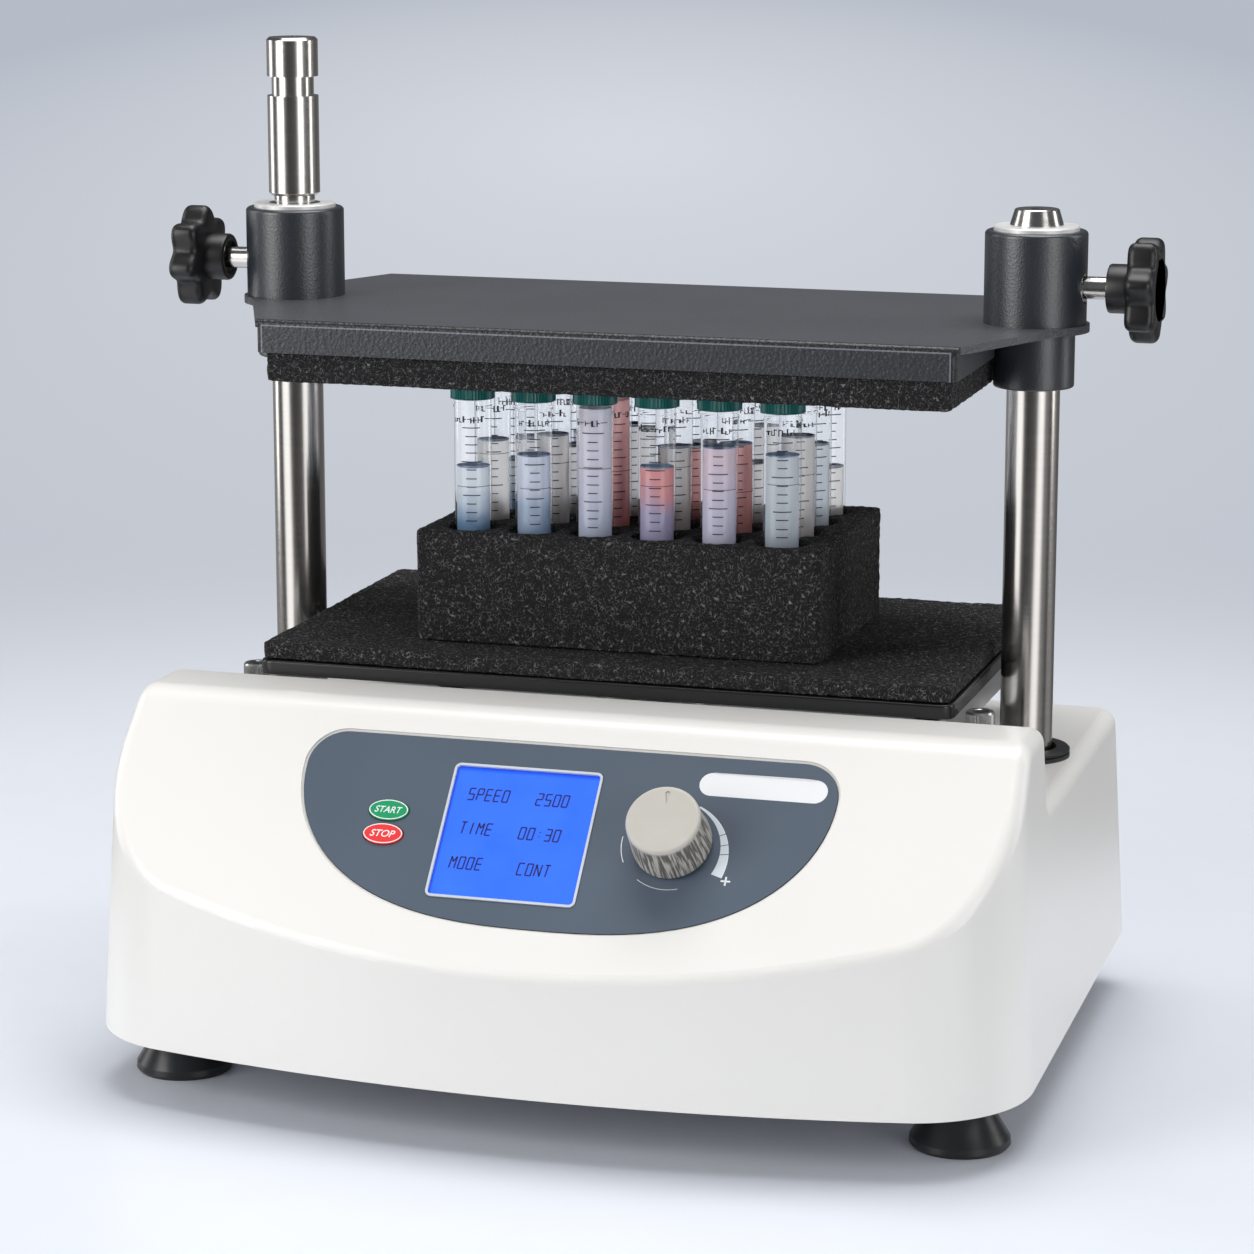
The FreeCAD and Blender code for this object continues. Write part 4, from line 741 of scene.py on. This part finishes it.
def makePill():
    bm = bmesh.new()
    radius = pill["size"][1] / 2
    half = pill["size"][0] / 2 - radius
    x, y = pill["centre"]
    for side in (-1, 1):
        bmesh.ops.create_circle(bm, cap_ends=False, segments=48, radius=radius * mm,
                                matrix=Matrix.Translation(Vector((x + side * half, y, 0)) * mm))
    bmesh.ops.delete(bm, geom=[v for v in bm.verts if abs(v.co.x / mm - x) < half - 0.01], context="VERTS")
    bmesh.ops.convex_hull(bm, input=bm.verts)
    bmesh.ops.dissolve_limit(bm, angle_limit=0.01, verts=bm.verts, edges=bm.edges)
    bm.faces.ensure_lookup_table()
    raised = bmesh.ops.extrude_face_region(bm, geom=bm.faces[:1])
    lifted = [item for item in raised["geom"] if isinstance(item, bmesh.types.BMVert)]
    bmesh.ops.translate(bm, verts=lifted, vec=(0, 0, pill["thick"]))
    top = [edge for edge in bm.edges if all(v.co.z > pill["thick"] / 2 for v in edge.verts)]
    bmesh.ops.bevel(bm, geom=top, offset=0.2 * mm, offset_type="OFFSET", segments=2, profile=0.5, affect="EDGES",
                    material=-1)
    bmesh.ops.recalc_face_normals(bm, faces=bm.faces)
    bmesh.ops.transform(bm, matrix=faceMatrix @ Matrix.Translation((0, 0, graphics["panelTop"])), verts=bm.verts)
    addPiece(bm, "barePill", pillWhite, "base")


def textOn(words, name, material, body, centre, size, lean, lift):
    curve = bpy.data.curves.new(name, "FONT")
    curve.body = words
    curve.shear = lean
    curve.offset = 0.012
    holder = bpy.data.objects.new(name + "Blank", curve)
    bpy.context.scene.collection.objects.link(holder)
    bpy.context.view_layer.update()
    mesh = bpy.data.meshes.new_from_object(holder.evaluated_get(bpy.context.evaluated_depsgraph_get()))
    bpy.data.objects.remove(holder)
    xs = [v.co.x for v in mesh.vertices]
    ys = [v.co.y for v in mesh.vertices]
    middle = Vector(((min(xs) + max(xs)) / 2, (min(ys) + max(ys)) / 2, 0))
    stretch = Matrix.Diagonal((size[0] * mm / (max(xs) - min(xs)), size[1] * mm / (max(ys) - min(ys)), 1, 1))
    place = Matrix.Translation(Vector((*centre, 0)) * mm + Vector((0, 0, lift)))
    mesh.transform(faceMatrix @ place @ stretch @ Matrix.Translation(-middle))
    return addMesh(mesh, name, material, body, smooth=False)


keys = {"start": {"centre": (-71.0, 71.6), "words": "START", "size": (12.6, 3.2)},
        "stop": {"centre": (-71.0, 59.9), "words": "STOP", "size": (11.4, 3.4)}}
keyRim = {"half": (8.9 * mm, 4.8 * mm), "width": 0.45 * mm}


def makeKeyMarks():
    for key, look in keys.items():
        bm = bmesh.new()
        middle = Matrix.Translation(Vector((*look["centre"], 0)) * mm)
        bmesh.ops.create_circle(bm, cap_ends=True, segments=64, radius=1.0)
        bmesh.ops.transform(bm, matrix=middle @ Matrix.Diagonal((*keyRim["half"], 1, 1)), verts=bm.verts)
        rim = bmesh.ops.inset_region(bm, faces=bm.faces[:], thickness=keyRim["width"], use_boundary=True)
        inside = [face for face in bm.faces if face not in rim["faces"]]
        bmesh.ops.delete(bm, geom=inside, context="FACES")
        flatPiece(bm, key + "Rim", whiteInk, key + "_key", graphics["keyTop"] + graphics["ink"])
        textOn(look["words"], key + "Word", whiteInk, key + "_key", look["centre"], look["size"], 0.25,
               graphics["keyTop"] + 1.5 * graphics["ink"])


# Display: letters built from the strokes of a segment display

strokes = {"a": ((0, 2), (1, 2)), "b": ((1, 2), (1, 1)), "c": ((1, 1), (1, 0)), "d": ((0, 0), (1, 0)),
           "e": ((0, 1), (0, 0)), "f": ((0, 2), (0, 1)),
           "g": ((0, 1), (1, 1)), "h": ((0, 2), (1, 0)), "i": ((0, 2), (0.5, 1.1)),
           "j": ((0.5, 1.1), (1, 2)), "m": ((0.5, 2), (0.5, 1)), "n": ((0.5, 1), (0.5, 0)),
           "p": ((0.5, 1.45), (0.5, 1.3)), "q": ((0.5, 0.7), (0.5, 0.55))}
letters = {"S": "afgcd", "P": "fabge", "E": "afged", "D": "abcdef", "T": "amn", "I": "mn", "M": "feijbc", "O": "abcdef",
           "C": "afed", "N": "fehbc", "2": "abged", "5": "afgcd", "0": "abcdef", "3": "abgcd", ":": "pq"}
displayLines = (("SPEED", (-27.8, 83.0)), ("2500", (1.3, 82.8)), ("TIME", (-30.0, 66.4)), ("00:30", (-1.0, 65.9)),
                ("MODE", (-30.8, 49.5)), ("CONT", (0.0, 48.8)))
displayLetter = {"width": 2.4, "height": 5.6, "gap": 1.5, "stroke": 0.68, "lean": 0.1, "lift": -0.93 * mm}


def makeDisplayText():
    bm = bmesh.new()
    pitch = displayLetter["width"] + displayLetter["gap"]
    for words, (x, y) in displayLines:
        left = x - (len(words) * pitch - displayLetter["gap"]) / 2
        for index, letter in enumerate(words):
            for stroke in letters[letter]:
                ends = []
                for a, b in strokes[stroke]:
                    up = (b - 1) * displayLetter["height"] / 2
                    across = a * displayLetter["width"] + up * displayLetter["lean"]
                    ends.append((left + index * pitch + across, y + up))
                barOn(bm, ends[0], ends[1], displayLetter["stroke"])
    flatPiece(bm, "displayText", navyInk, "base", displayLetter["lift"])


makeScaleArc()
makePill()
makeKeyMarks()
makeDisplayText()
print("panel graphics made")


# Star knobs of the clamp screws

star = {"discFrom": 219.8 * mm, "discTo": 233 * mm, "height": 353 * mm, "mean": 21.4 * mm, "lobe": 2.6 * mm,
        "lobes": 7, "round": 3.6 * mm, "boss": 11 * mm, "bossLength": 9.8 * mm, "sink": 8 * mm, "sinkDepth": 2 * mm,
        "groove": 13.5 * mm, "grooveWide": 0.45 * mm, "grooveDeep": 0.4 * mm, "core": 5.05 * mm}


def starRing(bm, height, inset=0.0, circle=None):
    outline = bmesh.ops.create_circle(bm, cap_ends=False, segments=star["lobes"] * 18, radius=star["mean"],
                                      matrix=Matrix.Translation((0, 0, height)))
    for vert in outline["verts"]:
        angle = math.atan2(vert.co.y, vert.co.x)
        reach = circle or star["mean"] + star["lobe"] * math.cos(star["lobes"] * angle) - inset
        vert.co = Vector((reach * math.cos(angle), reach * math.sin(angle), height))
    return {edge for vert in outline["verts"] for edge in vert.link_edges}


def makeStarKnob(name, body, side, turned):
    bm = bmesh.new()
    thick = star["discTo"] - star["discFrom"]
    rings = [starRing(bm, 0, circle=star["core"]), starRing(bm, 0, circle=star["boss"] - 1 * mm)]
    bends = [(1 - math.cos(math.radians(turn)), 1 - math.sin(math.radians(turn))) for turn in range(0, 91, 15)]
    rings += [starRing(bm, star["round"] * up, star["round"] * inset) for up, inset in bends]
    rings += [starRing(bm, thick - star["round"] * down, star["round"] * inset) for down, inset in bends[::-1]]
    for radius, drop in ((star["groove"] + star["grooveWide"], 0), (star["groove"] + 0.15 * mm, star["grooveDeep"]),
                         (star["groove"] - 0.15 * mm, star["grooveDeep"]), (star["groove"] - star["grooveWide"], 0)):
        rings.append(starRing(bm, thick - drop, circle=radius))
    for low, high in zip(rings, rings[1:]):
        bmesh.ops.bridge_loops(bm, edges=list(low | high))
    bmesh.ops.holes_fill(bm, edges=list(rings[-1]), sides=0)
    end = -star["bossLength"]
    floor = end + star["sinkDepth"]
    spinProfile(bm, [(star["core"], floor), (star["sink"] - 0.3 * mm, floor), (star["sink"], floor - 0.3 * mm),
                     (star["sink"], end + 0.3 * mm), (star["sink"] + 0.4 * mm, end), (star["boss"] - 1.2 * mm, end),
                     (star["boss"] - 0.35 * mm, end + 0.35 * mm), (star["boss"], end + 1.2 * mm),
                     (star["boss"], 1.5 * mm)], Vector(), 64)
    closeUp(bm)
    spot = Matrix.Translation((side * star["discFrom"], postY, star["height"]))
    turn = Matrix.Rotation(side * math.pi / 2, 4, "Y") @ Matrix.Rotation(math.radians(turned), 4, "Z")
    bmesh.ops.transform(bm, matrix=spot @ turn, verts=bm.verts)
    knob = addPiece(bm, name, finishes["knob_black"], body)
    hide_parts(name.replace("Star", "_clamp_knob"))


makeStarKnob("leftStar", "left_screw", -1, 0)
makeStarKnob("rightStar", "right_screw", 1, 156)
print("star knobs made")


# Knurled socket screws on the carrier's front ears

knurl = {"places": (-170.5 * mm, 170.5 * mm), "y": postY - 73 * mm, "low": 166 * mm, "top": 174 * mm,
         "radius": 6.5 * mm, "ridges": 30, "socket": 3.4 * mm, "depth": 4 * mm,
         "washer": ((0, 163), (7.6, 163), (7.7, 163.2), (7.7, 165.8), (7.5, 166), (0, 166))}  # in mm


def makeKnurledScrews():
    bm = bmesh.new()
    radius, socket, low, top = knurl["radius"], knurl["socket"], knurl["low"], knurl["top"]
    for x in knurl["places"]:
        spot = Vector((x, knurl["y"], 0))
        spinProfile(bm, [(out * mm, height * mm) for out, height in knurl["washer"]], spot, 40)
        ridgedRing(bm, spot, radius, knurl["ridges"], low + 0.6 * mm, top - 0.9 * mm, 0.075)
        spinProfile(bm, [(radius * 0.93, low), (radius * 0.99, low + 0.6 * mm)], spot, 60)
        spinProfile(bm, [(radius * 0.99, top - 0.9 * mm), (radius - 0.7 * mm, top), (socket + 0.3 * mm, top),
                         (socket, top - 0.3 * mm)], spot, 60)
        spinProfile(bm, [(socket, top - 0.3 * mm), (socket, top - knurl["depth"]), (0, top - knurl["depth"])], spot, 6)
    bmesh.ops.recalc_face_normals(bm, faces=bm.faces)
    screws = addPiece(bm, "knurledScrews", finishes["fastener_steel"], "platform")
    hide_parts("isolator_screws")


makeKnurledScrews()
print("screws made")


# Floor, backdrop and light

cards = [  # how polished metal sees the room round about: degrees from the front, to the right
    (-117, 0.3), (-82, 0.3), (-74, 0.07), (-62, 0.07), (-55, 1.6), (-29, 1.6), (-22, 0.16), (-8, 0.05), (12, 0.07),
    (34, 0.14), (44, 1.5), (62, 1.5), (70, 0.3), (86, 0.2), (96, 0.06), (108, 0.3), (126, 0.3), (140, 0.12), (180, 0.2),
]
studio = {"floorSize": 14.0, "floorNear": (0.73, 0.76, 0.83), "floorRough": 0.42, "farEdge": (0.47, 0.505, 0.575),
          "farGlow": (0.665, 0.69, 0.745), "glowCentre": (-1.38, 4.56, 0), "glowTurn": math.radians(16.8),
          "glowReach": (1.35, 5.6, 1), "fadeFrom": 0.6, "fadeTo": 1.4, "cardFrom": 0.38, "cardTo": 0.6}


def cardLight(tree, split):
    turned = combine(tree, "ARCTAN2", split[0], combine(tree, "MULTIPLY", split[1], -1.0))
    share = mapValue(tree, turned, 0.0, 1.0, -math.pi, math.pi)
    curve = tree.nodes.new("ShaderNodeFloatCurve")
    line = curve.mapping.curves[0]
    spots = [((angle + 180) / 360, light / 2) for angle, light in cards]
    line.points[0].location = (0, spots[-1][1])
    line.points[1].location = spots[-1]
    for spot in spots[:-1]:
        line.points.new(*spot)
    for point in line.points:
        point.handle_type = "VECTOR"
    curve.mapping.update()
    join(tree, share, curve.inputs["Value"])
    return combine(tree, "MULTIPLY", curve.outputs[0], 2.0)


def seenStraight(tree, rays):
    return combine(tree, "MAXIMUM", rays["Is Camera Ray"], rays["Is Transmission Ray"])


def makeFloor():
    bm = bmesh.new()
    bmesh.ops.create_circle(bm, cap_ends=True, segments=96, radius=studio["floorSize"])
    mesh = bpy.data.meshes.new("studioFloor")
    bm.to_mesh(mesh)
    bm.free()
    floor = bpy.data.objects.new("studioFloor", mesh)
    bpy.context.scene.collection.objects.link(floor)
    material, tree, shader = newMaterial("paleFloor", studio["floorRough"])
    place = objectPlace(tree)
    reach = lengthOf(tree, place)
    cloud = noiseOf(tree, place, 30.0, 4)
    join(tree, blendColour(tree, cloud, studio["floorNear"], tuple(c * 0.97 for c in studio["floorNear"])),
         shader.inputs["Base Color"])
    away = lengthOf(tree, turnedPlace(tree, studio["glowCentre"], (0, 0, studio["glowTurn"]), studio["glowReach"]))
    far = blendColour(tree, mapValue(tree, away, 0.0, 1.0, 0.05, 1.1), studio["farGlow"], studio["farEdge"])
    rays = tree.nodes.new("ShaderNodeLightPath").outputs
    glow = tree.nodes.new("ShaderNodeEmission")
    join(tree, far, glow.inputs["Color"])
    join(tree, seenStraight(tree, rays), glow.inputs["Strength"])
    shine = tree.nodes.new("ShaderNodeEmission")
    join(tree, combine(tree, "MULTIPLY", rays["Is Glossy Ray"], cardLight(tree, partsOf(tree, place))),
         shine.inputs["Strength"])
    both = tree.nodes.new("ShaderNodeAddShader")
    join(tree, glow.outputs[0], both.inputs[0])
    join(tree, shine.outputs[0], both.inputs[1])
    fade = smoothRise(tree, reach, studio["fadeFrom"], studio["fadeTo"])
    near = smoothRise(tree, reach, studio["cardFrom"], studio["cardTo"])
    share = blendValue(tree, rays["Is Glossy Ray"], fade, near)
    join(tree, blendShaders(tree, share, shader.outputs[0], both.outputs[0]),
         tree.nodes["Material Output"].inputs["Surface"])
    mesh.materials.append(material)


lamps = {
    "keyLamp": {"place": (-1.55, -1.8, 1.0), "aim": (0, 0, 0.25), "size": (1.2, 1.6), "power": 33,
                "colour": (1, 0.99, 0.97)},
    "fillLamp": {"place": (1.9, -1.35, 0.75), "aim": (0, 0, 0.2), "size": (0.9, 1.2), "power": 12,
                 "colour": (1, 0.995, 0.985)},
    "topLamp": {"place": (0.1, 0.25, 2.1), "aim": (0, 0, 0.2), "size": (1.8, 1.4), "power": 38, "colour": (1, 1, 1)},
    "rightStrip": {"place": (1.35, 0.5, 0.7), "aim": (0.1, 0, 0.3), "size": (0.3, 1.3), "power": 4,
                   "colour": (1, 0.99, 0.98)},
    "leftStrip": {"place": (-1.4, 0.1, 0.6), "aim": (-0.1, 0, 0.3), "size": (0.4, 1.3), "power": 4,
                  "colour": (1, 1, 1)},
}


def makeLamps():
    for name, lamp in lamps.items():
        data = bpy.data.lights.new(name, "AREA")
        data.shape = "RECTANGLE"
        data.size, data.size_y = lamp["size"]
        data.energy = lamp["power"]
        data.color = lamp["colour"]
        holder = bpy.data.objects.new(name, data)
        holder.location = lamp["place"]
        holder.rotation_euler = (Vector(lamp["aim"]) - Vector(lamp["place"])).to_track_quat("-Z", "Y").to_euler()
        bpy.context.scene.collection.objects.link(holder)


roomLight = {"soft": (0.82, 0.83, 0.85), "softStrength": 0.36, "shiny": (0.5, 0.53, 0.58), "shinyStrength": 0.2}


def makeWorld():
    world = bpy.data.worlds.new("studio")
    bpy.context.scene.world = world
    world.use_nodes = True
    tree = world.node_tree
    rays = tree.nodes.new("ShaderNodeLightPath").outputs
    background = tree.nodes["Background"]
    background.inputs["Color"].default_value = (*roomLight["soft"], 1)
    background.inputs["Strength"].default_value = roomLight["softStrength"]
    shiny = put(tree, "ShaderNodeBackground", Color=(*roomLight["shiny"], 1), Strength=roomLight["shinyStrength"])
    seen = put(tree, "ShaderNodeBackground", Color=(*studio["farGlow"], 1), Strength=1.0)
    lit = blendShaders(tree, rays["Is Glossy Ray"], background.outputs[0], shiny.outputs[0])
    join(tree, blendShaders(tree, seenStraight(tree, rays), lit, seen.outputs[0]),
         tree.nodes["World Output"].inputs["Surface"])


makeFloor()
makeLamps()
makeWorld()
print("studio set")
